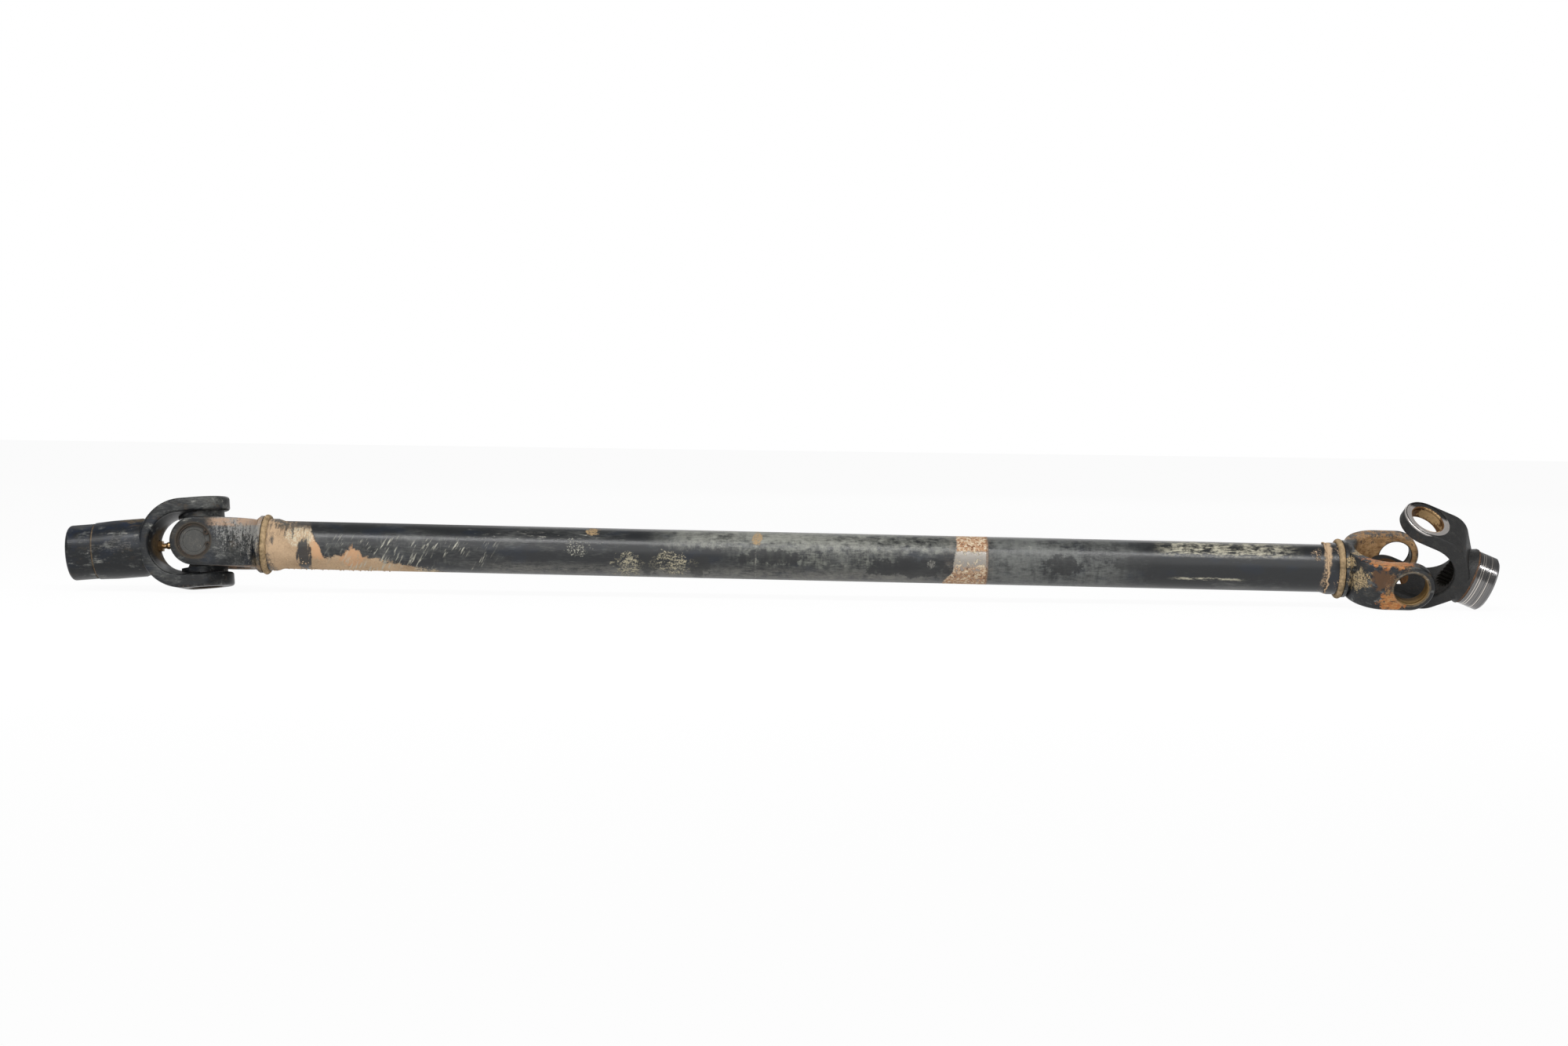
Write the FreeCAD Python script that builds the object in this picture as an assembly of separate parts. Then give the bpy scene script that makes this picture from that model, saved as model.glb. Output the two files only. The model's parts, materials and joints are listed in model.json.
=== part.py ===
import FreeCAD, Part
import math
import os

# Front drive shaft, in millimetres, +Z up, standing on the plane z = 0.
# The tube runs along X. Its left end carries a working universal joint and the slip yoke.
# Its right end carries an open tube yoke, with a loose end yoke hooked into it.

os.makedirs("parts", exist_ok=True)

# Tube
joint_distance = 955.0        # between the two joint centres
tube_radius = 19.05
tube_wall = 2.1
swell_step = 1.6              # how far the swelled tube ends stand out
swell_length = 8.0
swell_ramp = 5.0
stub_length = 7.0             # of the yoke's stub inside the swelled end
stub_clearance = 0.03
stub_chamfer = 1.0
weld_gap = 3.5                # between the yoke's shoulder and the tube's end
weld_lip = 2.1                # the shoulder's height over the swelled tube
weld_crown = 0.8
weld_toe = 2.0                # how far the bead laps over the tube

# Needle bearings and cross
trunnion_radius = 8.0
needle_radius = 1.25
needle_length = 9.6
needle_count = 22
needle_clearance = 0.03
needle_end_play = 0.3
cap_wall = 2.44
cap_floor = 3.0
cap_length = 15.0
cap_fit = 0.02
cap_chamfer = 0.7
cap_dish_radius = 9.0
cap_dish_depth = 0.5
washer_thickness = 1.2
washer_clearance = 0.3
end_play = 0.05
seal_thickness = 3.0
seal_gap = 0.3
seal_lip_clearance = 0.15
seal_chamfer = 1.0
cross_root_radius = 10.3
cross_web_half = 8.6
cross_edge = 2.5
grease_bore_radius = 2.0

# Circlips
clip_thickness = 1.4
clip_groove_play = 0.1
clip_groove_depth = 0.9
clip_width = 2.3
clip_lug_radius = 2.3
clip_eye_radius = 0.9
clip_eye_angle = 25.0         # each eye from the middle of the gap
clip_setback = 1.2            # of the groove from the ear's face
clip_turn = 11.0              # of the gap from the shaft's axis

# Yoke forgings
ear_gap_half = 24.5           # from the shaft's axis to an ear's inner face
ear_thickness = 11.0
throat_depth = 38.7           # from the joint centre to the throat's bottom
forging_edge = 2.2
bore_chamfer = 0.5
arm_root_share = 0.85         # of the height where an arm's side runs out of its hub

# Tube yokes
tube_arm_curve = 29.0         # radius of the arm's outer shoulder
tube_arm_slope = 79.0         # of the arm's back, from the shaft's axis
tube_arm_end = 46.2           # from the joint centre to the end of the arm's back
tube_yoke_lead = 0.9          # from the hub's buried front to its cone
tube_yoke_land = 2.5

# Slip yoke
slip_ear_radius = 22.5
slip_arm_curve = 34.0
slip_arm_slope = 80.0
slip_arm_end = 46.2
slip_crown = 3.4              # of the throat's floor, across the yoke
slip_pad_margin = 4.5         # between the pad round a bore and the ear's rim
slip_pad_height = 5.0         # of that pad, inside the ear
slip_hub_margin = 0.7
slip_hub_taper_start = 69.0
slip_hub_end = 83.0
slip_hub_taper = 0.7
slip_groove_width = 1.5
slip_groove_depth = 0.5
slip_collar_radius = 21.9
slip_length = 105.0
slip_end_round = 3.0
slip_floor = 13.0             # between the throat and the splined socket
slip_counterbore_radius = 17.0
slip_counterbore_depth = 5.0

# Grease nipple in the slip yoke's throat
nipple_thread_radius = 3.0
nipple_thread_length = 7.0
nipple_hex_flat = 4.0
nipple_hex_height = 3.5
nipple_stem_radius = 2.1
nipple_stem_length = 1.6
nipple_ball_radius = 2.9
nipple_spot_clearance = 0.6   # round the hexagon, in the spot face under it

# End yoke
end_ear_radius = 19.5
end_arm_curve = 20.0
end_arm_slope = 54.0
end_arm_end = 50.5
end_hub_margin = 3.4
end_hub_end = 51.5
end_collar_radius = 22.0
end_collar_relief = 0.6
end_collar_relief_width = 1.5
end_yoke_length = 69.5
end_collar_chamfer = 1.6
spot_face_radius = 17.6
spot_face_depth = 0.8

# Splined bores
spline_teeth = 26
spline_minor_radius = 14.0
spline_tooth_height = 1.3
spline_tooth_share = 0.56     # of the pitch, at a tooth's root
spline_tip_share = 0.36
spline_lead = 1.2

# How the shaft lies
left_roll = 6.5               # the left tube yoke's front ear is up
slip_droop = 5.8
right_roll = 22.0             # the right tube yoke's front ear is down
end_drop = 22.4
end_roll = 38.7
end_shift = 0.8               # of the end yoke's joint centre along the shaft
rest_dip = 0.3                # of the end yoke's lower ear into the mouth of the rear bore

# Sizes that follow
race_radius = trunnion_radius + 2 * needle_radius + 2 * needle_clearance
cap_radius = race_radius + cap_wall
bore_radius = cap_radius + cap_fit
needle_pitch_radius = trunnion_radius + needle_radius + needle_clearance
ear_face = ear_gap_half + ear_thickness
clip_groove_width = clip_thickness + clip_groove_play
clip_groove_radius = bore_radius + clip_groove_depth
clip_groove_start = ear_face - clip_setback - clip_groove_width
clip_start = clip_groove_start + clip_groove_play / 2
cap_end = clip_start
cap_mouth = cap_end - cap_length
cap_floor_face = cap_end - cap_floor
trunnion_end = cap_floor_face - washer_thickness - 2 * end_play
seal_start = cap_mouth - seal_thickness
cross_shoulder = seal_start - seal_gap
swell_radius = tube_radius + swell_step
stub_radius = swell_radius - tube_wall - stub_clearance
shoulder_radius = swell_radius + weld_lip
tube_yoke_shoulder = tube_arm_end + tube_yoke_land
tube_start = tube_yoke_shoulder + weld_gap
throat_centre = throat_depth - ear_gap_half
slip_hub_radius = slip_ear_radius + slip_hub_margin
slip_pad_face = ear_gap_half - slip_pad_height
nipple_seat = throat_depth - slip_crown
nipple_hex_corner = nipple_hex_flat / math.cos(math.pi / 6)
end_hub_radius = end_ear_radius + end_hub_margin
end_ear_face = ear_face + spot_face_depth
spline_major_radius = spline_minor_radius + spline_tooth_height
tolerance = 1e-4

origin = FreeCAD.Vector(0, 0, 0)
along_x = FreeCAD.Vector(1, 0, 0)
along_y = FreeCAD.Vector(0, 1, 0)
along_z = FreeCAD.Vector(0, 0, 1)


def outline(start, *steps):
    """A closed wire in the XZ plane. A step is a point, or a pair (through, end) for an arc."""
    edges = []
    here = FreeCAD.Vector(start[0], 0, start[1])
    first = here
    for step in steps:
        if isinstance(step[0], tuple):
            through = FreeCAD.Vector(step[0][0], 0, step[0][1])
            there = FreeCAD.Vector(step[1][0], 0, step[1][1])
            edges.append(Part.Arc(here, through, there).toShape())
        else:
            there = FreeCAD.Vector(step[0], 0, step[1])
            edges.append(Part.LineSegment(here, there).toShape())
        here = there
    edges.append(Part.LineSegment(here, first).toShape())
    return Part.Wire(edges)


def turned(start, *steps):
    """A solid turned about X. Its outline gives places along X and radii."""
    return Part.Face(outline(start, *steps)).revolve(origin, along_x, 360)


def rod(radius, start, end):
    """A round bar on the X axis."""
    return Part.makeCylinder(radius, end - start, FreeCAD.Vector(start, 0, 0), along_x)


def corner_arc(centre, radius, start_angle, end_angle):
    """The middle and the end of an arc in the XZ plane, for outline()."""
    points = []
    for angle in ((start_angle + end_angle) / 2, end_angle):
        turn = math.radians(angle)
        points.append((centre[0] + radius * math.cos(turn), centre[1] + radius * math.sin(turn)))
    return tuple(points)


def spline_core(start, end):
    """The space of a splined bore along X, teeth left out."""
    pitch = 2 * math.pi / spline_teeth
    corners = []
    for tooth in range(spline_teeth):
        middle = tooth * pitch
        for radius, offset in (
            (spline_minor_radius, -(1 - spline_tip_share) / 2),
            (spline_major_radius, -(1 - spline_tooth_share) / 2),
            (spline_major_radius, (1 - spline_tooth_share) / 2),
            (spline_minor_radius, (1 - spline_tip_share) / 2),
        ):
            angle = middle + offset * pitch
            corners.append(FreeCAD.Vector(start, radius * math.cos(angle), radius * math.sin(angle)))
    face = Part.Face(Part.makePolygon(corners + corners[:1]))
    return face.extrude(FreeCAD.Vector(end - start, 0, 0))


def spline_chamfer(mouth, inward):
    """The lead-in of a splined bore whose mouth is at x = mouth. inward is 1 or -1 along X."""
    wide = spline_major_radius + spline_lead
    return turned(
        (mouth, 0),
        (mouth, wide),
        (mouth + inward * (wide - spline_minor_radius), spline_minor_radius),
        (mouth + inward * (wide - spline_minor_radius), 0),
    )


def arm_profile(ear_radius, face, curve, slope, end, root):
    """The side view of both arms and the throat, as a closed wire.

    An arm's outer side is flat at the height of face, turns down in an arc of radius curve, and
    runs on at the angle slope to the height of root at x = end. The arms meet in a round nose.
    """
    tip = -ear_radius - forging_edge
    turn = math.radians(slope)
    arc_drop = curve * (1 - math.cos(turn))
    arc_end = end - (face - arc_drop - root) / math.tan(turn)
    flat = arc_end - curve * math.sin(turn)
    nose = root / math.cos(turn)
    nose_centre = end - nose * math.sin(turn)
    return outline(
        (tip, face),
        (flat, face),
        corner_arc((flat, face - curve), curve, 90, 90 - slope),
        (end, root),
        corner_arc((nose_centre, 0), nose, 90 - slope, slope - 90),
        (arc_end, arc_drop - face),
        corner_arc((flat, curve - face), curve, slope - 90, -90),
        (tip, -face),
        (tip, -ear_gap_half),
        (throat_centre, -ear_gap_half),
        ((throat_depth, 0), (throat_centre, ear_gap_half)),
        (tip, ear_gap_half),
    )


def ear_plan(ear_radius, face, end):
    """The view onto the ears: straight sides and a round end about the bore."""
    height = face + forging_edge
    block = Part.makeBox(
        2 * end,
        2 * ear_radius,
        2 * height,
        FreeCAD.Vector(0, -ear_radius, -height),
    )
    end_round = Part.makeCylinder(ear_radius, 2 * height, along_z * -height)
    return block.fuse(end_round).removeSplitter()


def is_side_edge(edge, ear_radius):
    """True for an edge of the arms that the forging rounds."""
    box = edge.BoundBox
    if box.XLength < tolerance and box.YLength < tolerance:
        return False
    middle = edge.valueAt((edge.FirstParameter + edge.LastParameter) / 2)
    if middle.x > 0:
        return abs(abs(middle.y) - ear_radius) < tolerance
    return abs(math.hypot(middle.x, middle.y) - ear_radius) < tolerance


def fork(ear_radius, hub_radius, face, curve, slope, end):
    """The two forged arms about the origin, with ears along Z and the hub's side along +X."""
    root = arm_root_share * math.sqrt(hub_radius ** 2 - ear_radius ** 2)
    sheet = Part.Face(arm_profile(ear_radius, face, curve, slope, end, root))
    slab = sheet.extrude(FreeCAD.Vector(0, 2 * ear_radius, 0))
    slab.translate(FreeCAD.Vector(0, -ear_radius, 0))
    arms = slab.common(ear_plan(ear_radius, face, end)).removeSplitter()
    edges = [edge for edge in arms.Edges if is_side_edge(edge, ear_radius)]
    arms = arms.makeFillet(forging_edge, edges)
    keep = Part.makeBox(
        end + ear_radius,
        2 * ear_radius,
        2 * face,
        FreeCAD.Vector(-ear_radius, -ear_radius, -face),
    )
    return arms.common(keep)


def ear_bores(inner_face):
    """The space of both bearing bores, with their circlip grooves and chamfered mouths."""
    mouth = ear_face - bore_chamfer
    top = ear_face + forging_edge
    half = Part.Face(outline(
        (0, 0),
        (0, inner_face - bore_chamfer),
        (bore_radius + bore_chamfer, inner_face - bore_chamfer),
        (bore_radius + bore_chamfer, inner_face),
        (bore_radius, inner_face + bore_chamfer),
        (bore_radius, clip_groove_start),
        (clip_groove_radius, clip_groove_start),
        (clip_groove_radius, clip_groove_start + clip_groove_width),
        (bore_radius, clip_groove_start + clip_groove_width),
        (bore_radius, mouth),
        (bore_radius + bore_chamfer, ear_face),
        (bore_radius + bore_chamfer, top),
        (0, top),
    )).revolve(origin, along_z, 360)
    return half.fuse(half.mirror(origin, along_z))


def tube_yoke():
    """The forged yoke that is welded to the tube."""
    front = throat_depth + forging_edge
    stub_end = tube_start + stub_length
    hub = turned(
        (front, 0),
        (front, tube_radius - forging_edge / 2),
        (front + tube_yoke_lead, tube_radius),
        (tube_arm_end, shoulder_radius),
        (tube_yoke_shoulder, shoulder_radius),
        (tube_yoke_shoulder, stub_radius),
        (stub_end - stub_chamfer, stub_radius),
        (stub_end, stub_radius - stub_chamfer),
        (stub_end, 0),
    )
    arms = fork(tube_radius, shoulder_radius, ear_face, tube_arm_curve, tube_arm_slope, tube_arm_end)
    return arms.fuse(hub).removeSplitter().cut(ear_bores(ear_gap_half))


def drive_tube():
    """The tube with a swelled end over each yoke's stub."""
    start = tube_start - joint_distance / 2
    flat = start + swell_length
    slim = flat + swell_ramp
    outer = [
        (start, swell_radius),
        (flat, swell_radius),
        (slim, tube_radius),
        (-slim, tube_radius),
        (-flat, swell_radius),
        (-start, swell_radius),
    ]
    inner = [(x, radius - tube_wall) for x, radius in reversed(outer)]
    return turned(outer[0], *outer[1:], *inner)


def weld_bead():
    """The ring of weld between a yoke's shoulder and the tube's end."""
    toe = tube_start + weld_toe
    crown = ((tube_yoke_shoulder + weld_gap / 2, shoulder_radius + weld_crown), (toe, swell_radius))
    return turned(
        (tube_yoke_shoulder, stub_radius),
        (tube_yoke_shoulder, shoulder_radius),
        crown,
        (tube_start, swell_radius),
        (tube_start, stub_radius),
    ).cut(rod(stub_radius, tube_yoke_shoulder, toe))


def slip_throat():
    """The crown across the slip yoke's throat and arms, and the pad round each bore."""
    half = slip_ear_radius - forging_edge
    corners = [
        FreeCAD.Vector(throat_centre, half, ear_gap_half),
        FreeCAD.Vector(throat_centre, half, ear_gap_half + forging_edge),
        FreeCAD.Vector(throat_centre, -half, ear_gap_half + forging_edge),
        FreeCAD.Vector(throat_centre, -half, ear_gap_half),
    ]
    crest = FreeCAD.Vector(throat_centre, 0, ear_gap_half - slip_crown)
    edges = [Part.Arc(corners[3], crest, corners[0]).toShape()]
    for here, there in zip(corners, corners[1:]):
        edges.append(Part.LineSegment(here, there).toShape())
    section = Part.Face(Part.Wire(edges))
    floor = section.revolve(FreeCAD.Vector(throat_centre, 0, 0), along_y, 180)
    arm = section.extrude(along_x * -throat_centre)
    pad = Part.makeCylinder(
        slip_ear_radius - slip_pad_margin,
        slip_pad_height + forging_edge,
        FreeCAD.Vector(0, 0, slip_pad_face),
    )
    side = arm.fuse(pad)
    return floor.fuse([side, side.mirror(origin, along_z)])


def slip_yoke():
    """The yoke with a long hub, splined inside, that slides on the output shaft."""
    front = throat_depth + forging_edge
    hub_end_radius = slip_hub_radius - slip_hub_taper
    groove_end = slip_hub_end + slip_groove_width
    groove_radius = slip_collar_radius - slip_groove_depth
    round_start = slip_length - slip_end_round
    hub = turned(
        (front, 0),
        (front, slip_ear_radius - forging_edge / 2),
        (slip_arm_end, slip_hub_radius),
        (slip_hub_taper_start, slip_hub_radius),
        (slip_hub_end, hub_end_radius),
        (slip_hub_end, groove_radius),
        (groove_end, groove_radius),
        (groove_end, slip_collar_radius),
        (round_start, slip_collar_radius),
        corner_arc((round_start, slip_collar_radius - slip_end_round), slip_end_round, 90, 0),
        (slip_length, 0),
    )
    socket_start = throat_depth + slip_floor
    spline_end = slip_length - slip_counterbore_depth
    body = fork(slip_ear_radius, slip_hub_radius, ear_face, slip_arm_curve, slip_arm_slope, slip_arm_end)
    body = body.fuse([hub, slip_throat()]).removeSplitter()
    body = body.cut(ear_bores(slip_pad_face))
    body = body.cut(spline_core(socket_start, slip_length))
    body = body.cut(rod(slip_counterbore_radius, spline_end, slip_length))
    body = body.cut(spline_chamfer(spline_end, -1))
    body = body.cut(rod(nipple_hex_corner + nipple_spot_clearance, throat_centre, nipple_seat))
    return body.cut(rod(nipple_thread_radius, nipple_seat - 1, socket_start + 1))


def end_yoke():
    """The yoke with a short polished collar, splined right through."""
    front = throat_depth + forging_edge
    relief_end = end_hub_end + end_collar_relief_width
    relief_radius = end_collar_radius - end_collar_relief
    chamfer_start = end_yoke_length - end_collar_chamfer
    hub = turned(
        (front, 0),
        (front, end_ear_radius - forging_edge / 2),
        (end_arm_end, end_hub_radius),
        (end_hub_end, end_hub_radius),
        (end_hub_end, relief_radius),
        (relief_end, relief_radius),
        (relief_end, end_collar_radius),
        (chamfer_start, end_collar_radius),
        (end_yoke_length, end_collar_radius - end_collar_chamfer),
        (end_yoke_length, 0),
    )
    body = fork(end_ear_radius, end_hub_radius, end_ear_face, end_arm_curve, end_arm_slope, end_arm_end)
    body = body.fuse(hub).removeSplitter()
    body = body.cut(ear_bores(ear_gap_half))
    for side in (along_z, along_z * -1):
        body = body.cut(Part.makeCylinder(spot_face_radius, ear_thickness, side * ear_face, side))
    body = body.cut(spline_core(ear_gap_half, end_yoke_length + 1))
    body = body.cut(spline_chamfer(end_yoke_length, -1))
    return body


def joint_cross():
    """The cross: four trunnions along Y and Z from one forged centre, drilled for grease."""
    body = Part.makeCylinder(cross_shoulder, 2 * cross_web_half, along_x * -cross_web_half, along_x)
    body = body.makeChamfer(cross_edge, [edge for edge in body.Edges if edge.BoundBox.XLength < tolerance])
    drillings = []
    for axis in (along_y, along_z):
        root = Part.makeCylinder(cross_root_radius, 2 * cross_shoulder, axis * -cross_shoulder, axis)
        trunnion = Part.makeCylinder(trunnion_radius, 2 * trunnion_end, axis * -trunnion_end, axis)
        body = body.fuse([root, trunnion])
        drillings.append(Part.makeCylinder(grease_bore_radius, 2 * trunnion_end, axis * -trunnion_end, axis))
    return body.removeSplitter().cut(drillings)


def bearing_cap():
    """A needle bearing's cup on the X axis, open towards the origin."""
    return turned(
        (cap_mouth, race_radius),
        (cap_mouth, cap_radius - cap_chamfer),
        (cap_mouth + cap_chamfer, cap_radius),
        (cap_end - cap_chamfer, cap_radius),
        (cap_end, cap_radius - cap_chamfer),
        (cap_end, cap_dish_radius),
        (cap_end - cap_dish_depth, cap_dish_radius - cap_dish_depth),
        (cap_end - cap_dish_depth, 0),
        (cap_floor_face, 0),
        (cap_floor_face, race_radius),
    )


def needle_set():
    """The needles of one cap, round the X axis."""
    end = trunnion_end + end_play - needle_end_play
    needle = rod(needle_radius, end - needle_length, end)
    needles = []
    for number in range(needle_count):
        copy = needle.copy()
        copy.translate(FreeCAD.Vector(0, 0, needle_pitch_radius))
        copy.rotate(origin, along_x, 360 * number / needle_count)
        needles.append(copy)
    return Part.makeCompound(needles)


def thrust_washer():
    """The washer between a trunnion's end and its cap's floor."""
    start = trunnion_end + end_play
    return rod(race_radius - washer_clearance, start, start + washer_thickness)


def cap_seal():
    """The rubber ring that closes a cap's mouth round its trunnion."""
    lip = trunnion_radius + seal_lip_clearance
    return turned(
        (seal_start, lip + seal_chamfer),
        (seal_start + seal_chamfer, cap_radius - 2 * cap_chamfer),
        (cap_mouth, cap_radius - cap_chamfer),
        (cap_mouth, lip),
        (seal_start + seal_chamfer, lip),
    )


def circlip():
    """The inner circlip that holds a cap in its ear, with its gap towards +Z."""
    outer = clip_groove_radius - clip_groove_play
    eye_distance = outer - clip_lug_radius
    gap = math.radians(clip_eye_angle)
    start = FreeCAD.Vector(clip_start, 0, 0)
    section = Part.Face(outline(
        (clip_start, outer - clip_width),
        (clip_start, outer),
        (clip_start + clip_thickness, outer),
        (clip_start + clip_thickness, outer - clip_width),
    ))
    ring = section.revolve(origin, along_x, 360 - 2 * clip_eye_angle)
    ring.rotate(origin, along_x, clip_eye_angle)
    eyes = []
    for side in (1, -1):
        centre = start + FreeCAD.Vector(0, side * math.sin(gap), math.cos(gap)) * eye_distance
        ring = ring.fuse(Part.makeCylinder(clip_lug_radius, clip_thickness, centre, along_x))
        eyes.append(Part.makeCylinder(clip_eye_radius, clip_thickness, centre, along_x))
    return ring.removeSplitter().cut(eyes)


def grease_nipple():
    """The nipple on the X axis. It screws in towards +X from the throat's crowned floor."""
    neck = nipple_seat - nipple_hex_height
    ball = neck - nipple_stem_length - nipple_ball_radius
    shank = rod(nipple_thread_radius, nipple_seat, nipple_seat + nipple_thread_length)
    corners = []
    for number in range(7):
        angle = number * math.pi / 3
        reach = FreeCAD.Vector(0, math.cos(angle), math.sin(angle)) * nipple_hex_corner
        corners.append(along_x * neck + reach)
    hexagon = Part.Face(Part.makePolygon(corners)).extrude(FreeCAD.Vector(nipple_hex_height, 0, 0))
    stem = rod(nipple_stem_radius, ball, neck)
    head = Part.makeSphere(nipple_ball_radius, FreeCAD.Vector(ball, 0, 0))
    return shank.fuse([hexagon, stem, head]).removeSplitter()


def frame_of(place, x_axis, z_axis):
    """The placement that takes the X and Z axes to these directions and the origin to place."""
    y_axis = z_axis.cross(x_axis)
    matrix = FreeCAD.Matrix(
        x_axis.x, y_axis.x, z_axis.x, place.x,
        x_axis.y, y_axis.y, z_axis.y, place.y,
        x_axis.z, y_axis.z, z_axis.z, place.z,
    )
    return FreeCAD.Placement(matrix)


def across(angle):
    """A unit direction across the shaft: 0 is towards -Y, and 90 degrees is up."""
    turn = math.radians(angle)
    return FreeCAD.Vector(0, -math.cos(turn), math.sin(turn))


def placed(shape, *placements):
    """A copy of the shape, taken through each placement in turn."""
    copy = shape.copy()
    for placement in placements:
        copy.Placement = placement.multiply(copy.Placement)
    return copy


def lowest_point(shape):
    """The lowest corner of the shape's facets."""
    points = shape.tessellate(0.05)[0]
    return min(points, key=lambda point: point.z)


# The joints' directions on the level shaft
left_joint = FreeCAD.Vector(-joint_distance / 2, 0, 0)
right_joint = FreeCAD.Vector(joint_distance / 2, 0, 0)
left_cap_axis = across(left_roll)
left_up = across(left_roll + 90)
right_cap_axis = across(-right_roll)
droop = math.radians(slip_droop)
slip_axis = along_x * -math.cos(droop) - left_up * math.sin(droop)
slip_cap_axis = left_up * math.cos(droop) - along_x * math.sin(droop)

left_yoke_frame = frame_of(left_joint, along_x, left_cap_axis)
right_yoke_frame = frame_of(right_joint, along_x * -1, right_cap_axis)
slip_frame = frame_of(left_joint, slip_axis, slip_cap_axis)
cross_frame = frame_of(left_joint, slip_axis, slip_cap_axis)

shapes = {
    "drive_tube": drive_tube(),
    "left_tube_yoke": placed(tube_yoke(), left_yoke_frame),
    "right_tube_yoke": placed(tube_yoke(), right_yoke_frame),
    "left_weld_bead": placed(weld_bead(), left_yoke_frame),
    "right_weld_bead": placed(weld_bead(), right_yoke_frame),
    "joint_cross": placed(joint_cross(), cross_frame),
    "slip_yoke": placed(slip_yoke(), slip_frame),
    "grease_nipple": placed(grease_nipple(), slip_frame),
}

# One bearing for each trunnion: its name, its direction and the direction of its yoke's hub
bearings = (
    ("front", left_cap_axis, along_x),
    ("rear", left_cap_axis * -1, along_x),
    ("upper", slip_cap_axis, slip_axis),
    ("lower", slip_cap_axis * -1, slip_axis),
)
for name, direction, hub_direction in bearings:
    seat = frame_of(left_joint, direction, hub_direction)
    clip_seat = seat.multiply(FreeCAD.Placement(origin, FreeCAD.Rotation(along_x, clip_turn)))
    shapes["bearing_cap_" + name] = placed(bearing_cap(), seat)
    shapes["needles_" + name] = placed(needle_set(), seat)
    shapes["thrust_washer_" + name] = placed(thrust_washer(), seat)
    shapes["cap_seal_" + name] = placed(cap_seal(), seat)
    shapes["circlip_" + name] = placed(circlip(), clip_seat)

# The shaft is pitched until the slip yoke and the right tube yoke both stand on the floor
left_foot = lowest_point(shapes["slip_yoke"])
right_foot = lowest_point(shapes["right_tube_yoke"])
pitch = math.degrees(math.atan2(right_foot.z - left_foot.z, right_foot.x - left_foot.x))
pitch_frame = FreeCAD.Placement(origin, FreeCAD.Rotation(along_y, pitch))
lift = -lowest_point(placed(shapes["right_tube_yoke"], pitch_frame)).z
lift_frame = FreeCAD.Placement(along_z * lift, FreeCAD.Rotation())
shaft_frame = lift_frame.multiply(pitch_frame)
for name in shapes:
    shapes[name] = placed(shapes[name], shaft_frame)

# The end yoke stands on the floor, and its lower ear leans on the right tube yoke's rear ear
drop = math.radians(end_drop)
lean = math.radians(end_roll)
end_axis = FreeCAD.Vector(math.cos(drop), 0, -math.sin(drop))
end_ear_axis = FreeCAD.Vector(math.sin(drop), 0, math.cos(drop)) * math.cos(lean) - along_y * math.sin(lean)
end_side = end_axis.cross(end_ear_axis)
end_yoke_level = placed(end_yoke(), frame_of(origin, end_axis, end_ear_axis))
right_centre = shaft_frame.multVec(right_joint)
end_height = -lowest_point(end_yoke_level).z
rear = pitch_frame.Rotation.multVec(right_cap_axis) * -1
reach = (end_ear_radius - forging_edge) * math.hypot(end_side.dot(rear), end_axis.dot(rear))
reach += (end_ear_face - forging_edge) * abs(end_ear_axis.dot(rear)) + forging_edge
room = ear_gap_half + rest_dip - reach - (end_height - right_centre.z) * rear.z
end_place = FreeCAD.Vector(right_centre.x + end_shift, room / rear.y, end_height)
shapes["end_yoke"] = placed(end_yoke_level, FreeCAD.Placement(end_place, FreeCAD.Rotation()))

# The origin is under the middle of the whole part
whole = Part.makeCompound(list(shapes.values())).optimalBoundingBox(False)
middle = FreeCAD.Vector(-whole.Center.x, -whole.Center.y, -whole.ZMin)
middle_frame = FreeCAD.Placement(middle, FreeCAD.Rotation())
for name, shape in shapes.items():
    placed(shape, middle_frame).exportStep("parts/" + name + ".step")
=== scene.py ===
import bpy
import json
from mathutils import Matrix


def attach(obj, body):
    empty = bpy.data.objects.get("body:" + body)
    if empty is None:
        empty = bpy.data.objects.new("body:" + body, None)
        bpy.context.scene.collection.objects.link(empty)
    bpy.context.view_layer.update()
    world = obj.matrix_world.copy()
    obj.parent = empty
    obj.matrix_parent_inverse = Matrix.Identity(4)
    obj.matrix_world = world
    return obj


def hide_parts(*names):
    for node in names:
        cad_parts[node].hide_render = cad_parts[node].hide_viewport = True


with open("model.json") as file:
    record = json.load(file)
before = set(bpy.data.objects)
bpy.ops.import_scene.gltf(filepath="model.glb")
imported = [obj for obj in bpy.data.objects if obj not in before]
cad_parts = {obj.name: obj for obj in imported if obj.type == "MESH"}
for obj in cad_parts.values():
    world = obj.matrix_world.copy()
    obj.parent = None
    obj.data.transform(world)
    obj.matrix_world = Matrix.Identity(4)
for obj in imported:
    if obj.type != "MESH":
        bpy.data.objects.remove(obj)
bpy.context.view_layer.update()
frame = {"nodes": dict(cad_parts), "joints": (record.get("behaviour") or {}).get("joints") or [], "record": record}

import json
import math

import bpy
from mathutils import Matrix, Vector

bl_info = {
    "name": "Worn Drive Shaft",
    "version": (1, 0, 0),
    "blender": (4, 5, 0),
    "location": "3D View > Sidebar > Drive Shaft",
    "description": "Finishes a used drive shaft: paint, mud, rust, bare metal and weld beads",
    "category": "Object",
}


def tone(red, green, blue):
    """A colour given as the 0 to 255 values that a screen shows, as linear light."""
    linear = []
    for value in (red, green, blue):
        share = value / 255
        linear.append(share / 12.92 if share <= 0.04045 else ((share + 0.055) / 1.055) ** 2.4)
    return tuple(linear)


# Places on the shaft, in millimetres, from the record's joints and mounts
MM = 1000.0
MOUNTS = {mount["name"]: mount for mount in frame["record"]["mounts"]}


def mount_place(name):
    """A mount's point in millimetres."""
    return Vector(MOUNTS[name]["pos_m"]) * MM


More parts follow.
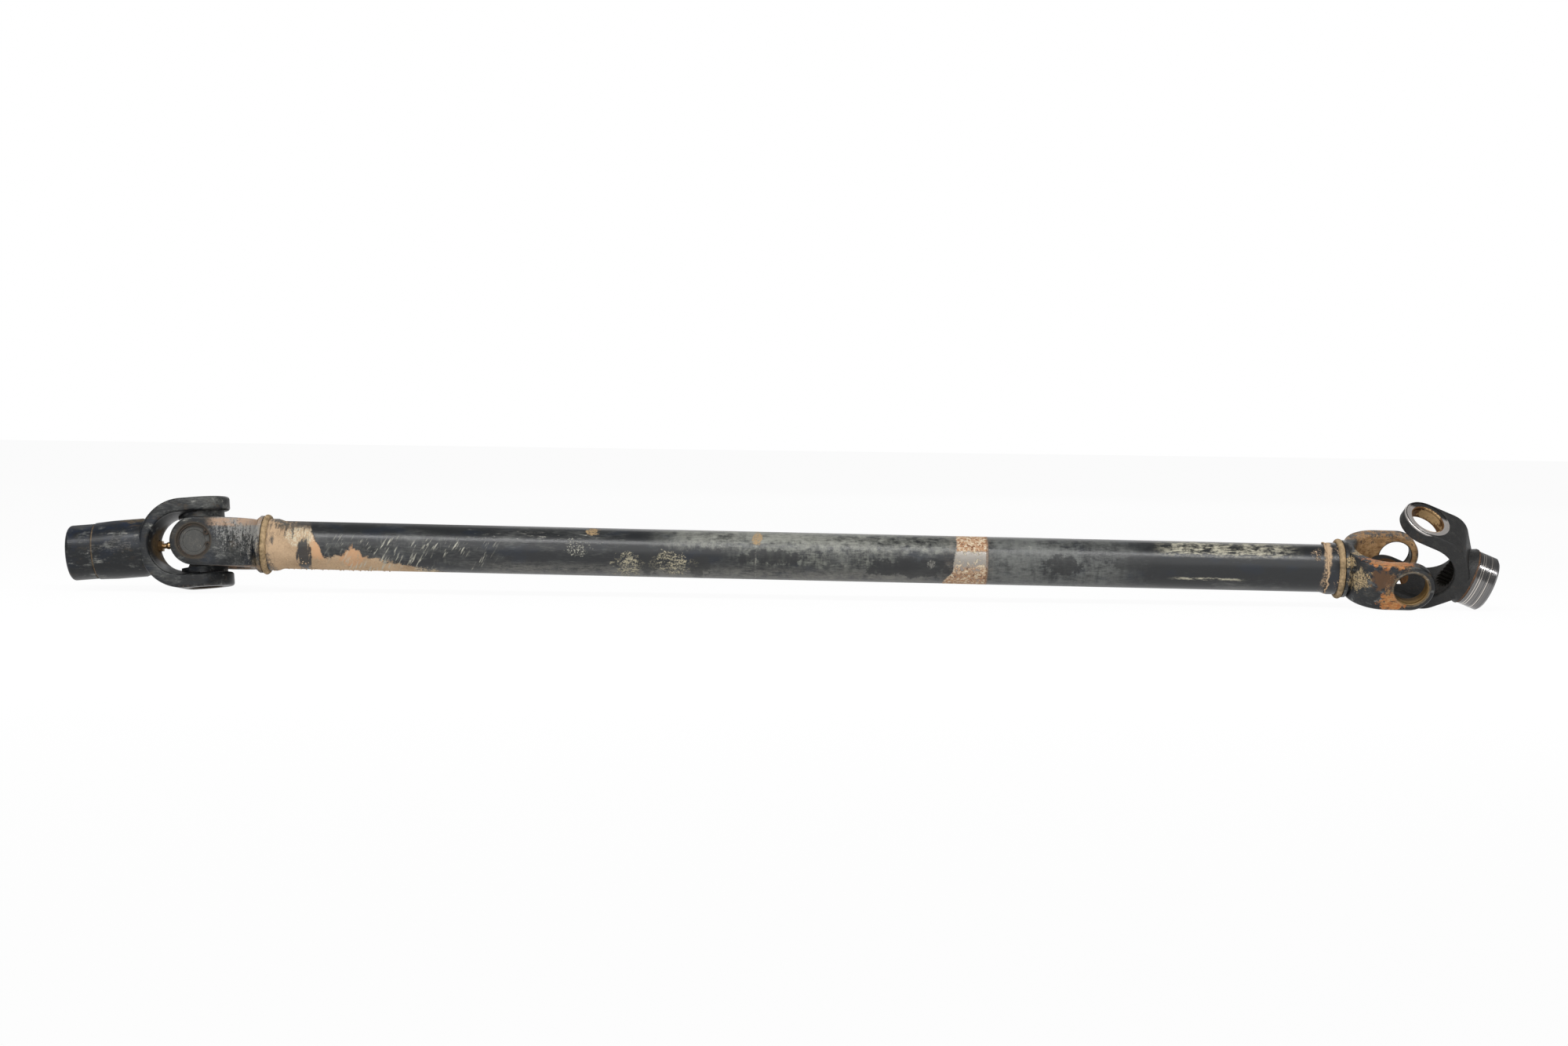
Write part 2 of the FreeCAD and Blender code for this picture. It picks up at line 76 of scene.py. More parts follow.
LEFT_JOINT = Vector(frame["joints"][0]["pos_m"]) * MM
RIGHT_JOINT = (mount_place("right_front_bore") + mount_place("right_rear_bore")) / 2
END_JOINT = (mount_place("end_upper_bore") + mount_place("end_lower_bore")) / 2
SHAFT_AXIS = (RIGHT_JOINT - LEFT_JOINT).normalized()
SHAFT_LENGTH = (RIGHT_JOINT - LEFT_JOINT).length
SHAFT_SIDE = Vector((0, 1, 0))
SHAFT_UP = SHAFT_AXIS.cross(SHAFT_SIDE)
LEFT_EAR_AXIS = Vector(frame["joints"][0]["axis"])
SLIP_EAR_AXIS = Vector(frame["joints"][1]["axis"])
SLIP_AXIS = Vector(MOUNTS["slip_collar"]["axis"])
RIGHT_EAR_AXIS = Vector(MOUNTS["right_front_bore"]["axis"])
END_AXIS = Vector(MOUNTS["end_collar"]["axis"])
END_EAR_AXIS = Vector(MOUNTS["end_upper_bore"]["axis"])
END_NEAR = END_EAR_AXIS.cross(END_AXIS)
END_NEAR *= -1 if END_NEAR.y > 0 else 1
BORE_RADIUS = MOUNTS["end_upper_bore"]["dims"]["r_mm"]
COLLAR_LENGTH = MOUNTS["end_collar"]["dims"]["length_mm"]
COLLAR_START = (mount_place("end_collar") - END_JOINT).dot(END_AXIS) - COLLAR_LENGTH / 2
SLIP_COLLAR_LENGTH = MOUNTS["slip_collar"]["dims"]["length_mm"]
SLIP_COLLAR_START = (mount_place("slip_collar") - LEFT_JOINT).dot(SLIP_AXIS) - SLIP_COLLAR_LENGTH / 2
WELD_CENTRE = 51.4            # of a weld bead, from its joint's centre
RIDGE_PLACE = 892.0           # of the mud ridge, from the left joint's centre
EAR_FACE = 35.5               # of the end yoke's ears, from the middle between them
SEAL_RINGS = (2.6, 4.4, 9.8)  # worn into the polished collar, from its start

# Patches: place along the shaft, height over its axis, half length, half height and raggedness
MUD_GAP = [(83.5, -7, 5.6, 14, 1.0)]
WARM_MUD_PATCHES = [(96, 1, 8, 11, 1.0), (121, -5, 13, 9, 1.0)]
PALE_MUD_PATCHES = [(80, 8, 12, 8, 1.0), (183, -14, 13, 6, 1.0)]
CLEAN_PATCHES = [(562, -6, 34, 8, 1.0), (684, -1, 16, 7, 1.0), (452, 0, 26, 6, 1.0)]
FAINT_CLEAN_PATCH = [(742, 2, 22, 6, 1.0)]
RAVEL_PATCHES = [(338, -9, 12, 9, 1.4), (374, -7, 16, 9, 1.4)]
RAVEL_SHADOWS = [(356, -8, 8, 9, 1.0), (396, -9, 9, 9, 1.0)]
SPECK_PATCH = [(298, 4, 9, 6, 1.5)]
TOP_DROPS = [(441, 14, 4, 5, 0.9), (311, 16, 6, 2.5, 1.2)]
DASHES = [(657, 12, 2, 1.6, 0.6), (579, -3, 3.2, 3.4, 1.0)]
RIGHT_DROPS = [(884, 12, 4, 4, 1.6), (902, -11, 4, 4, 1.4), (903, 14, 5, 6, 1.4)]
EAR_RUST_PATCHES = [(940, 9, 18, 6, 1.6), (941, -24, 9, 8, 1.5)]
EAR_BROWN_PATCH = [(932, -6, 9, 8, 1.4)]
EAR_TAN_PATCHES = [(916, -7, 7, 8, 1.7), (909, 6, 4, 5, 1.5), (922, 14, 10, 2.5, 1.2)]

# The same on the slip yoke, along its own axis, and in the end yoke's upper bore
SLIP_SMEAR_PATCH = [(66, 2, 16, 5, 1.4)]
SLIP_BROW_PATCH = [(52, 22, 10, 3.5, 1.6)]
BORE_PALE_PATCH = [(3, 31, 9, 5, 1.0)]

# The height that the mud reaches, as places and heights from 0 to 1
MUD_EDGE_STOPS = [
    (0.0, 1.0), (0.22, 1.0), (0.27, 0.62), (0.32, 0.29), (0.41, 0.33), (0.464, 0.56),
    (0.52, 0.34), (0.62, 0.26), (0.74, 0.21), (0.84, 0.13), (1.0, 0.0)]
MUD_EDGE_START = 52
MUD_EDGE_LENGTH = 150
MUD_EDGE_TOP = 21

# A box round the mud crumbs, in metres from the left joint's centre
CRUMB_LOW = Vector((0.056, -0.03, -0.03))
CRUMB_HIGH = Vector((0.150, 0.03, -0.010))

# The stage's places, in metres, with the lamps' from the shaft's middle
SHAFT_MIDDLE = (LEFT_JOINT + RIGHT_JOINT) / 2 / MM
KEY_PLACE = Vector((0.0, -0.62, 0.78))
FILL_PLACE = Vector((-0.5, -2.4, 0.9))
BACK_PLACE = Vector((0.4, 2.2, 1.2))
FLOOR_HALF = 8.0
WHITE = (1.0, 1.0, 1.0)

NOISE_GAIN = 4.6              # spreads a noise that stays near its middle


class ShaftFinish(bpy.types.PropertyGroup):
    """Colours and sizes of the shaft's finish"""

    paint: bpy.props.FloatVectorProperty(
        name="Paint", description="Black paint of the tube and yokes", subtype="COLOR",
        size=3, min=0, max=1, default=tone(23, 25, 27))
    dust: bpy.props.FloatVectorProperty(
        name="Dust", description="Grey dust and scuffs on the paint", subtype="COLOR",
        size=3, min=0, max=1, default=tone(136, 137, 132))
    mud: bpy.props.FloatVectorProperty(
        name="Mud", description="Dried mud", subtype="COLOR",
        size=3, min=0, max=1, default=tone(178, 152, 122))
    rust: bpy.props.FloatVectorProperty(
        name="Rust", description="Orange rust on the right tube yoke", subtype="COLOR",
        size=3, min=0, max=1, default=tone(156, 92, 38))
    old_rust: bpy.props.FloatVectorProperty(
        name="Old rust", description="Brown rust in the end yoke's bores", subtype="COLOR",
        size=3, min=0, max=1, default=tone(96, 66, 36))
    steel: bpy.props.FloatVectorProperty(
        name="Bare steel", description="Bare steel of the band", subtype="COLOR",
        size=3, min=0, max=1, default=tone(146, 141, 134))
    band_start: bpy.props.FloatProperty(
        name="Band place", description="From the left joint's centre to the bare band, in millimetres",
        default=597.0, min=100, max=850)
    band_width: bpy.props.FloatProperty(
        name="Band width", description="Width of the bare band on the tube, in millimetres",
        default=26.5, min=5, max=80)


class ShaftWelds(bpy.types.PropertyGroup):
    """Sizes of the weld beads and the mud on the tube"""

    ring_radius: bpy.props.FloatProperty(
        name="Bead ring", description="Radius of the ring that a bead follows", subtype="DISTANCE",
        default=0.0214, min=0.015, max=0.03)
    bead_radius: bpy.props.FloatProperty(
        name="Bead", description="Radius of the bead itself", subtype="DISTANCE",
        default=0.0024, min=0.001, max=0.005)
    ripples: bpy.props.IntProperty(
        name="Ripples", description="Ripples round one bead", default=46, min=12, max=90)
    ripple_depth: bpy.props.FloatProperty(
        name="Ripple depth", description="Share of the bead's radius", subtype="FACTOR",
        default=0.09, min=0, max=0.4)
    crumbs: bpy.props.IntProperty(
        name="Mud crumbs", description="Crumbs of mud per square centimetre", default=5, min=0, max=20)


class ShaftStage(bpy.types.PropertyGroup):
    """The camera, lamps and floor"""

    distance: bpy.props.FloatProperty(
        name="Camera distance", description="From the camera to the shaft", subtype="DISTANCE",
        default=2.0, min=0.5, max=10)
    elevation: bpy.props.FloatProperty(
        name="Camera elevation", description="Above the horizon", subtype="ANGLE",
        default=math.radians(2.5), min=0, max=math.radians(80))
    roll: bpy.props.FloatProperty(
        name="Camera roll", description="Tilt of the picture", subtype="ANGLE",
        default=math.radians(0.79), min=math.radians(-10), max=math.radians(10))
    aim_left: bpy.props.FloatProperty(
        name="Aim left", description="From the shaft's middle to the picture's centre, leftwards",
        subtype="DISTANCE", default=0.0148, min=-0.2, max=0.2)
    aim_up: bpy.props.FloatProperty(
        name="Aim up", description="From the shaft's middle to the picture's centre, upwards",
        subtype="DISTANCE", default=0.0267, min=-0.2, max=0.2)
    lens: bpy.props.FloatProperty(
        name="Lens", description="Focal length for a 36 mm sensor, in millimetres",
        default=57.63, min=20, max=200)
    sky: bpy.props.FloatProperty(
        name="Sky", description="Strength of the even light from all sides", default=0.30, min=0, max=2)
    key: bpy.props.FloatProperty(
        name="Key light", description="Power of the long soft lamp over the shaft, in watts",
        default=15.0, min=0, max=100)
    fill: bpy.props.FloatProperty(
        name="Fill light", description="Power of the wide lamp behind the camera, in watts",
        default=17.0, min=0, max=100)
    back: bpy.props.FloatProperty(
        name="Back light", description="Power of the wide lamp behind the shaft, in watts",
        default=9.0, min=0, max=100)


class Value:
    """A node's output. Arithmetic on it adds Math nodes to the same tree."""

    def __init__(self, nodes, socket):
        self.nodes = nodes
        self.socket = socket

    def math(self, operation, *values):
        return self.nodes.add("ShaderNodeMath", {"operation": operation}, values)

    def __add__(self, other):
        return self.math("ADD", self, other)

    def __sub__(self, other):
        return self.math("SUBTRACT", self, other)

    def __rsub__(self, other):
        return self.math("SUBTRACT", other, self)

    def __mul__(self, other):
        return self.math("MULTIPLY", self, other)

    def __truediv__(self, other):
        return self.math("DIVIDE", self, other)

    __radd__ = __add__
    __rmul__ = __mul__

    def size(self):
        return self.math("ABSOLUTE", self)

    def sine(self):
        return self.math("SINE", self)

    def power(self, exponent):
        return self.math("POWER", self, exponent)

    def most(self, other):
        return self.math("MAXIMUM", self, other)

    def least(self, other):
        return self.math("MINIMUM", self, other)

    def step(self, low, high):
        """0 at low and 1 at high, with a smooth rise between them."""
        return self.nodes.add(
            "ShaderNodeMapRange", {"interpolation_type": "SMOOTHSTEP"}, [self, low, high, 0.0, 1.0])

    def within(self, low, high, soft):
        """1 between low and high, with soft edges."""
        return self.step(low - soft, low + soft) * self.step(high + soft, high - soft)


class Nodes:
    """A node tree that is built like a formula."""

    def __init__(self, tree):
        self.tree = tree
        tree.nodes.clear()

    def add(self, kind, settings=None, inputs=(), output=0):
        """Any node: its type, its settings, what its sockets hold, and the output wanted."""
        node = self.tree.nodes.new(kind)
        for name, value in (settings or {}).items():
            setattr(node, name, value)
        pairs = inputs.items() if isinstance(inputs, dict) else enumerate(inputs)
        for key, value in pairs:
            if isinstance(value, Value):
                self.tree.links.new(value.socket, node.inputs[key])
            elif node.inputs[key].type == "RGBA":
                node.inputs[key].default_value = (*value, 1.0)
            else:
                node.inputs[key].default_value = value
        return Value(self, node.outputs[output]) if node.outputs else None

    def vector(self, operation, *inputs, output=0):
        """One step of vector arithmetic."""
        return self.add("ShaderNodeVectorMath", {"operation": operation}, inputs, output)


class Finish(Nodes):
    """A material made of layers. Lengths in its formulas are millimetres in the part's frame."""

    def __init__(self, name, colour, roughness, metallic=0.0):
        self.material = bpy.data.materials.new(name)
        self.material.use_nodes = True
        super().__init__(self.material.node_tree)
        point = self.add("ShaderNodeTexCoord", output="Object")
        self.place = self.add("ShaderNodeVectorMath", {"operation": "SCALE"}, {0: point, "Scale": MM})
        self.colour = colour
        self.roughness = roughness
        self.metallic = metallic
        self.height = 0.0

    def along(self, centre, direction):
        """How far a point lies from centre along a direction."""
        offset = self.vector("SUBTRACT", self.place, centre)
        return self.vector("DOT_PRODUCT", offset, direction, output="Value")

    def reach(self, centre, direction):
        """How far a point lies from the line through centre along a direction."""
        offset = self.vector("SUBTRACT", self.place, centre)
        return self.vector("LENGTH", self.vector("CROSS_PRODUCT", offset, direction), output="Value")

    def noise(self, size, detail=3.0, seed=0.0, rough=0.55, stretch=(1, 1, 1)):
        """Noise from about -1 to 1, with blotches of about size, longer where stretch is over 1."""
        scale = [1 / (size * share) for share in stretch]
        point = self.vector("MULTIPLY_ADD", self.place, scale, (seed, seed, seed))
        return self.noise_at(point, detail, rough)

    def noise_at(self, point, detail, rough, gain=NOISE_GAIN):
        """Noise at a point that is already scaled, spread by gain about 0."""
        inputs = {"Vector": point, "Scale": 1.0, "Detail": detail, "Roughness": rough}
        return (self.add("ShaderNodeTexNoise", {}, inputs) - 0.5) * gain

    def mix(self, low, high, share):
        """Two colours mixed."""
        return self.add("ShaderNodeMix", {"data_type": "RGBA"}, {0: share, 6: low, 7: high}, 2)

    def cover(self, share, colour, roughness, metallic=0.0, rise=0.0):
        """Lays another finish over what is there, as far as share says."""
        self.colour = self.mix(self.colour, colour, share)
        self.roughness = (roughness - self.roughness) * share + self.roughness
        self.metallic = (metallic - self.metallic) * share + self.metallic
        if rise:
            self.height = share * rise + self.height

    def done(self, depth=0.25, shine=0.5):
        """Ends the material. depth is the relief in millimetres for a height of 1."""
        inputs = {
            "Base Color": self.colour,
            "Roughness": self.roughness,
            "Metallic": self.metallic,
            "Specular IOR Level": shine,
        }
        if isinstance(self.height, Value):
            bump = {"Strength": 1.0, "Distance": depth / MM, "Height": self.height}
            inputs["Normal"] = self.add("ShaderNodeBump", {}, bump)
        shader = self.add("ShaderNodeBsdfPrincipled", {}, inputs)
        self.add("ShaderNodeOutputMaterial", {}, {"Surface": shader})
        return self.material


def spots(far, up, patches, ragged):
    """Ragged patches. far and up are a point's place on the piece, and ragged is a noise."""
    covered = 0.0
    for place, height, length, tall, raggedness in patches:
        across = ((far - place) / length).power(2.0)
        upright = ((up - height) / tall).power(2.0)
        patch = (across + upright + ragged * raggedness * 1.1).step(1.2, 0.7)
        covered = patch.most(covered)
    return covered


def shaft_places(coat):
    """The distance from the left joint along the shaft, and the height over its axis."""
    return coat.along(LEFT_JOINT, SHAFT_AXIS), coat.along(LEFT_JOINT, SHAFT_UP)


def worn_paint(coat, settings):
    """Dust, scuffs and fine scratches on black paint, with a painted bluish sheen in patches, the same all along
    the shaft.
    """
    haze = coat.noise(16, 6, 3.1, 0.62, (2.2, 1, 1))
    fine = coat.noise(1.1, 4, 8.3, stretch=(5, 1, 1))
    cloud = coat.noise(60, 2, 5.7, stretch=(2, 1, 1))
    dusty = (haze * 0.5 + fine * 0.25 + cloud * 0.4).step(-0.1, 1.1)
    coat.cover(dusty * 0.42, settings.dust, 0.55)
    # A painted bluish sheen, in random patches over the paint
    bluish_sheen = coat.noise(14, 2, 12.9, stretch=(1.6, 1, 1)).step(0.1, 0.9)
    coat.cover(bluish_sheen * 0.5, tone(18, 27, 40), 0.26)
    flecks = coat.noise(0.9, 2, 21.7).step(1.1, 1.4)
    patchy = coat.noise(18, 3, 2.2).step(0.0, 0.8)
    coat.cover(flecks * patchy * 0.7, settings.dust, 0.7, rise=0.15)
    scratches = coat.noise(0.5, 2, 31.0, stretch=(26, 1.0, 1.2)).step(0.85, 1.3)
    coat.cover(scratches * patchy * 0.45, settings.dust, 0.5, rise=-0.12)
    coat.height = coat.noise(1.4, 4, 4.4) * 0.05 + coat.height


def forging_marks(coat, settings):
    """Wider scuffs and dusty marks on the yokes, whose paint took more knocks."""
    blotch = coat.noise(8, 8, 71.0, 0.7, (1.6, 1, 1))
    wisps = coat.noise(2.4, 6, 73.0, 0.68, (6, 1, 1.4))
    coat.cover((blotch * 0.8 + wisps * 0.3).step(0.1, 0.8) * 0.5, settings.dust, 0.6)
    coat.cover((wisps * 0.9 + blotch * 0.5).step(0.6, 0.95) * 0.7, tone(158, 155, 148), 0.6, rise=0.12)
    coat.cover((blotch * -0.8 + wisps * 0.3).step(0.2, 0.8) * 0.5, tone(80, 68, 52), 0.6)


def mud_edge(coat, far):
    """The height that the mud at the tube's left end reaches, along the tube."""
    reach = coat.add("ShaderNodeValToRGB", {}, [(far - MUD_EDGE_START) / MUD_EDGE_LENGTH])
    ramp = reach.socket.node.color_ramp
    while len(ramp.elements) < len(MUD_EDGE_STOPS):
        ramp.elements.new(1.0)
    for element, (place, shade) in zip(ramp.elements, MUD_EDGE_STOPS):
        element.position = place
        element.color = (shade, shade, shade, 1.0)
    return reach * (2 * MUD_EDGE_TOP) - MUD_EDGE_TOP


def left_mud(coat, settings, far, up, ragged, fine):
    """Mud at the tube's left end: high beside the weld, then only on the underside."""
    broad = coat.noise(22, 3, 6.0)
    brush = coat.noise(3.2, 4, 61.0, 0.7, (0.8, 3.5, 3.5))
    edge = mud_edge(coat, far) + ragged * 3.4 + fine * 1.4
    mud = up.step(edge + 1.0, edge - 1.4)
    mud = mud * (far + brush * 1.5 + ragged * 6 + up * 0.4).within(50, 196, 4)
    bars = coat.noise(2.6, 5, 77.0, 0.7, (0.7, 5, 5))
    gap = spots(far, up, MUD_GAP, ragged * 0.5 + bars * 0.6)
    smears = far.within(54, 90, 5) * (bars * 0.7 + ragged * 0.3 + up * 0.03).step(0.35, 0.75)
    rim = far.within(52, 60, 2) * (brush * 0.5 + ragged * 0.4).step(0.0, 0.5)
    top = up.step(11, 17) * (ragged * 0.6 + brush * 0.4 + far * 0.02).step(1.0, 1.6)
    bare = gap.most(smears * 0.9).most(rim).most(top)
    mud = mud * (1 - bare * 0.95)
    shade = coat.mix(settings.mud, tone(136, 114, 88), (broad * 0.4 + fine * 0.3).step(-0.3, 0.9))
    warm = spots(far, up, WARM_MUD_PATCHES, ragged)
    warm = warm.most((broad * 0.7 + brush * 0.3).step(0.5, 1.1) * 0.5)
    shade = coat.mix(shade, tone(186, 142, 104), warm * 0.7)
    pale = spots(far, up, PALE_MUD_PATCHES, ragged)
    shade = coat.mix(shade, tone(196, 190, 168), pale * fine.step(-0.5, 0.6) * 0.7)
    coat.cover(mud, shade, 0.88, rise=0.9)
    haze = far.within(92, 210, 12) * up.step(16, 6) * (brush * 0.5 + ragged * 0.4).step(0.0, 1.0)
    coat.cover(haze * 0.4, tone(122, 122, 114), 0.7)


def left_streaks(coat, far, up):
    """Pale streaks that something scraped slantwise into the paint and mud."""
    slant = coat.along(LEFT_JOINT, (SHAFT_AXIS * 0.86 - SHAFT_UP * 0.5).normalized())
    run = coat.along(LEFT_JOINT, (SHAFT_AXIS * 0.5 + SHAFT_UP * 0.86).normalized())
    grain = coat.add("ShaderNodeCombineXYZ", {}, [slant * 0.62, run * 0.07, 0.0])
    lines = coat.noise_at(grain, 4.0, 0.6)
    groups = coat.noise(17, 2, 47.0)
    hatch = lines.step(0.28, 0.62) * far.within(104, 232, 14) * up.step(12, 4) * groups.step(-0.5, 0.3)
    coat.cover(hatch * 0.85, tone(168, 166, 152), 0.7, rise=0.2)


def middle_dust(coat, far, up, ragged, fine):
    """Dust, scuffs and smears on the middle and right of the tube, with painted shadows beside the ravelled
    crumbs.
    """
    brush = coat.noise(4.5, 4, 14.0, 0.65, (0.8, 4, 4))
    grain = coat.noise(1.6, 4, 17.0, 0.75, (4, 1, 1))
    broad = coat.noise(30, 3, 66.0, stretch=(1.6, 1, 1))
    mottle = ragged * 0.5 + grain * 0.4
    crown = (up + ragged * 4).step(3, 12) * far.within(372, 600, 26) * (mottle + broad * 0.4).step(-0.7, 0.6)
    coat.cover(crown * 0.75, tone(146, 147, 138), 0.62, rise=0.12)
    belt = (up + ragged * 5).within(-7, 9, 5) * far.within(425, 548, 16)
    belt = belt * (brush * 0.4 + mottle).step(-0.4, 0.8)
    coat.cover(belt * 0.6, tone(132, 134, 124), 0.66)
    sheen = (far + ragged * 16).within(620, 735, 22) * (brush * 0.25 + broad * 0.4 + mottle).step(-0.8, 0.7)
    coat.cover(sheen * 0.62, tone(116, 118, 114), 0.6)
    foot = (up + ragged * 3).step(-6, -13) * far.within(225, 590, 25) * mottle.step(-0.6, 0.7)
    coat.cover(foot * 0.6, tone(136, 134, 126), 0.72)
    clean = spots(far, up, CLEAN_PATCHES, ragged).most(spots(far, up, FAINT_CLEAN_PATCH, ragged) * 0.7)
    coat.cover(clean * 0.8, tone(22, 23, 24), 0.4)
    scuff = up.within(8, 16, 3) * far.within(212, 330, 12) * (grain * 0.7 + ragged * 0.4).step(0.25, 0.8)
    coat.cover(scuff * 0.7, tone(160, 158, 148), 0.6)
    crumbly = (grain * 0.6 + fine * 0.7).step(-0.1, 0.4)
    coat.cover(spots(far, up, RAVEL_PATCHES, ragged) * crumbly * 0.85, tone(168, 160, 134), 0.7, rise=0.3)
    # Painted shadows beside the ravelled crumbs
    coat.cover(spots(far, up, RAVEL_SHADOWS, ragged) * 0.7, tone(30, 31, 31), 0.5)
    speck = spots(far, up, SPECK_PATCH, ragged) * fine.step(0.0, 0.6)
    coat.cover(speck * 0.8, tone(166, 164, 150), 0.7, rise=0.3)
    seam = far.within(439.8, 441.0, 0.4) * (fine * 0.5 + ragged * 0.4).step(-0.3, 0.6)
    coat.cover(seam * 0.5, tone(150, 148, 138), 0.65)
    drop = spots(far, up, TOP_DROPS, ragged) * (fine + 0.2).step(-0.5, 0.4)
    coat.cover(drop * 0.85, tone(158, 132, 94), 0.75, rise=0.4)
    cream = up.within(9, 19, 2.5) * far.within(764, 862, 14) * (grain * 0.6 + ragged * 0.5).step(-0.3, 0.45)
    line = (up + ragged * 0.6).within(-10.4, -8.6, 0.5) * far.within(772, 824, 8) * grain.step(-0.4, 0.5)
    coat.cover(cream.most(line) * 0.8, tone(186, 181, 160), 0.62, rise=0.1)
    coat.cover(spots(far, up, DASHES, ragged) * fine.step(-0.4, 0.5) * 0.45, tone(150, 148, 140), 0.7)


def bare_band(coat, settings, far, up, ragged, fine):
    """The bare band: rust above and below, speckled bright steel between."""
    start = settings.band_start
    end = start + settings.band_width
    pits = coat.noise(2.4, 5, 41.0, 0.75)
    stain = coat.noise(4.5, 4, 51.0)
    slope = up.step(-6, -19) * 8.0 - up.step(4, 10) * 2.0
    band = (far + slope + fine * 0.5 + ragged * 0.6).step(start - 0.8, start + 0.8)
    band = band * (far + fine * 0.3).step(end + 0.7, end - 0.7)
    halo = far.within(start - 7, end + 4, 5) * (1 - band) * (ragged * 0.4 + fine * 0.4).step(-0.2, 1.0)
    coat.cover(halo * 0.5, tone(122, 104, 86), 0.72)
    coat.cover(band, settings.steel, 0.42, 0.6, rise=-0.2)
    rusty = up.step(4, -12) * 0.8 + up.step(6.5, 9.5) + pits * 0.8 + stain * 0.3 + 0.12
    shade = coat.mix(tone(158, 120, 88), tone(196, 184, 160), (pits * 0.9 + stain * 0.3).step(-0.2, 0.5))
    shade = coat.mix(shade, tone(104, 64, 40), (stain * 0.4 - pits * 0.9).step(0.2, 0.5))
    coat.cover(band * rusty.step(0.35, 0.65), shade, 0.82, rise=0.5)
    brown = far.within(end - 1.4, end + 0.6, 0.5) * (fine * 0.4 + ragged * 0.3).step(-0.7, 0.3)
    coat.cover(brown * 0.7, tone(104, 76, 54), 0.8)


def tube_finish(settings):
    """The tube: black paint with mud at its left end, a bare rusty band and many scuffs."""
    coat = Finish("tube_paint", settings.paint, 0.3)
    far, up = shaft_places(coat)
    ragged = coat.noise(7, 8, 1.0, 0.7)
    fine = coat.noise(1.3, 4, 9.0, 0.65)
    worn_paint(coat, settings)
    middle_dust(coat, far, up, ragged, fine)
    left_mud(coat, settings, far, up, ragged, fine)
    left_streaks(coat, far, up)
    bare_band(coat, settings, far, up, ragged, fine)
    drops = spots(far, up, RIGHT_DROPS, ragged)
    coat.cover(drops * fine.step(0.0, 0.6), settings.mud, 0.85, rise=0.5)
    shore = (far + ragged * 2.2 - up * 0.12).within(889.5, 893.6, 1.2)
    shore = shore * (fine * 0.5 + ragged * 0.4 + up * 0.03).step(-0.5, 0.3)
    coat.cover(shore, settings.mud, 0.85, rise=0.7)
    return coat.done(0.3)


def left_yoke_finish(settings):
    """The left tube yoke: worn paint, with mud on its edges and towards the weld."""
    coat = Finish("left_yoke_paint", settings.paint, 0.38)
    far, up = shaft_places(coat)
    worn_paint(coat, settings)
    forging_marks(coat, settings)
    ragged = coat.noise(6, 8, 1.7, 0.7)
    fine = coat.noise(1.1, 4, 9.4, 0.75)
    brush = coat.noise(2.4, 4, 43.0, 0.7, (0.7, 3.5, 3.5))
    scuff = far.within(17, 50, 6) * (fine * 0.5 + brush * 0.6 + up * 0.03 + far * 0.012).step(0.45, 0.95)
    coat.cover(scuff * 0.75, tone(152, 151, 147), 0.66, rise=0.12)
    dull = far.within(12, 50, 6) * (ragged * 0.6 + fine * 0.3 + up * 0.012).step(-0.3, 0.8)
    coat.cover(dull * 0.4, tone(112, 112, 110), 0.62)
    edge = up.size().within(15.8, 22, 1.2) * far.within(12, 50, 4)
    edge = edge * (ragged * 0.7 + fine * 0.3).step(-0.5, 0.4)
    coat.cover(edge * 0.8, tone(168, 138, 112), 0.82, rise=0.4)
    foot = (far + ragged * 4 + brush * 3 - up * 0.1).step(43, 51)
    foot = foot * (fine * 0.5 + ragged * 0.3).step(-0.4, 0.6)
    coat.cover(foot * 0.8, tone(142, 124, 96), 0.86, rise=0.6)
    grime = far.step(16, 4) * (ragged * 0.5 + fine * 0.3).step(-0.2, 0.9)
    coat.cover(grime * 0.4, tone(84, 74, 60), 0.7)
    bore = coat.reach(LEFT_JOINT, LEFT_EAR_AXIS).step(BORE_RADIUS + 2.2, BORE_RADIUS + 1.0)
    coat.cover(bore * 0.75, tone(60, 52, 42), 0.75)
    return coat.done(0.25, 0.3)


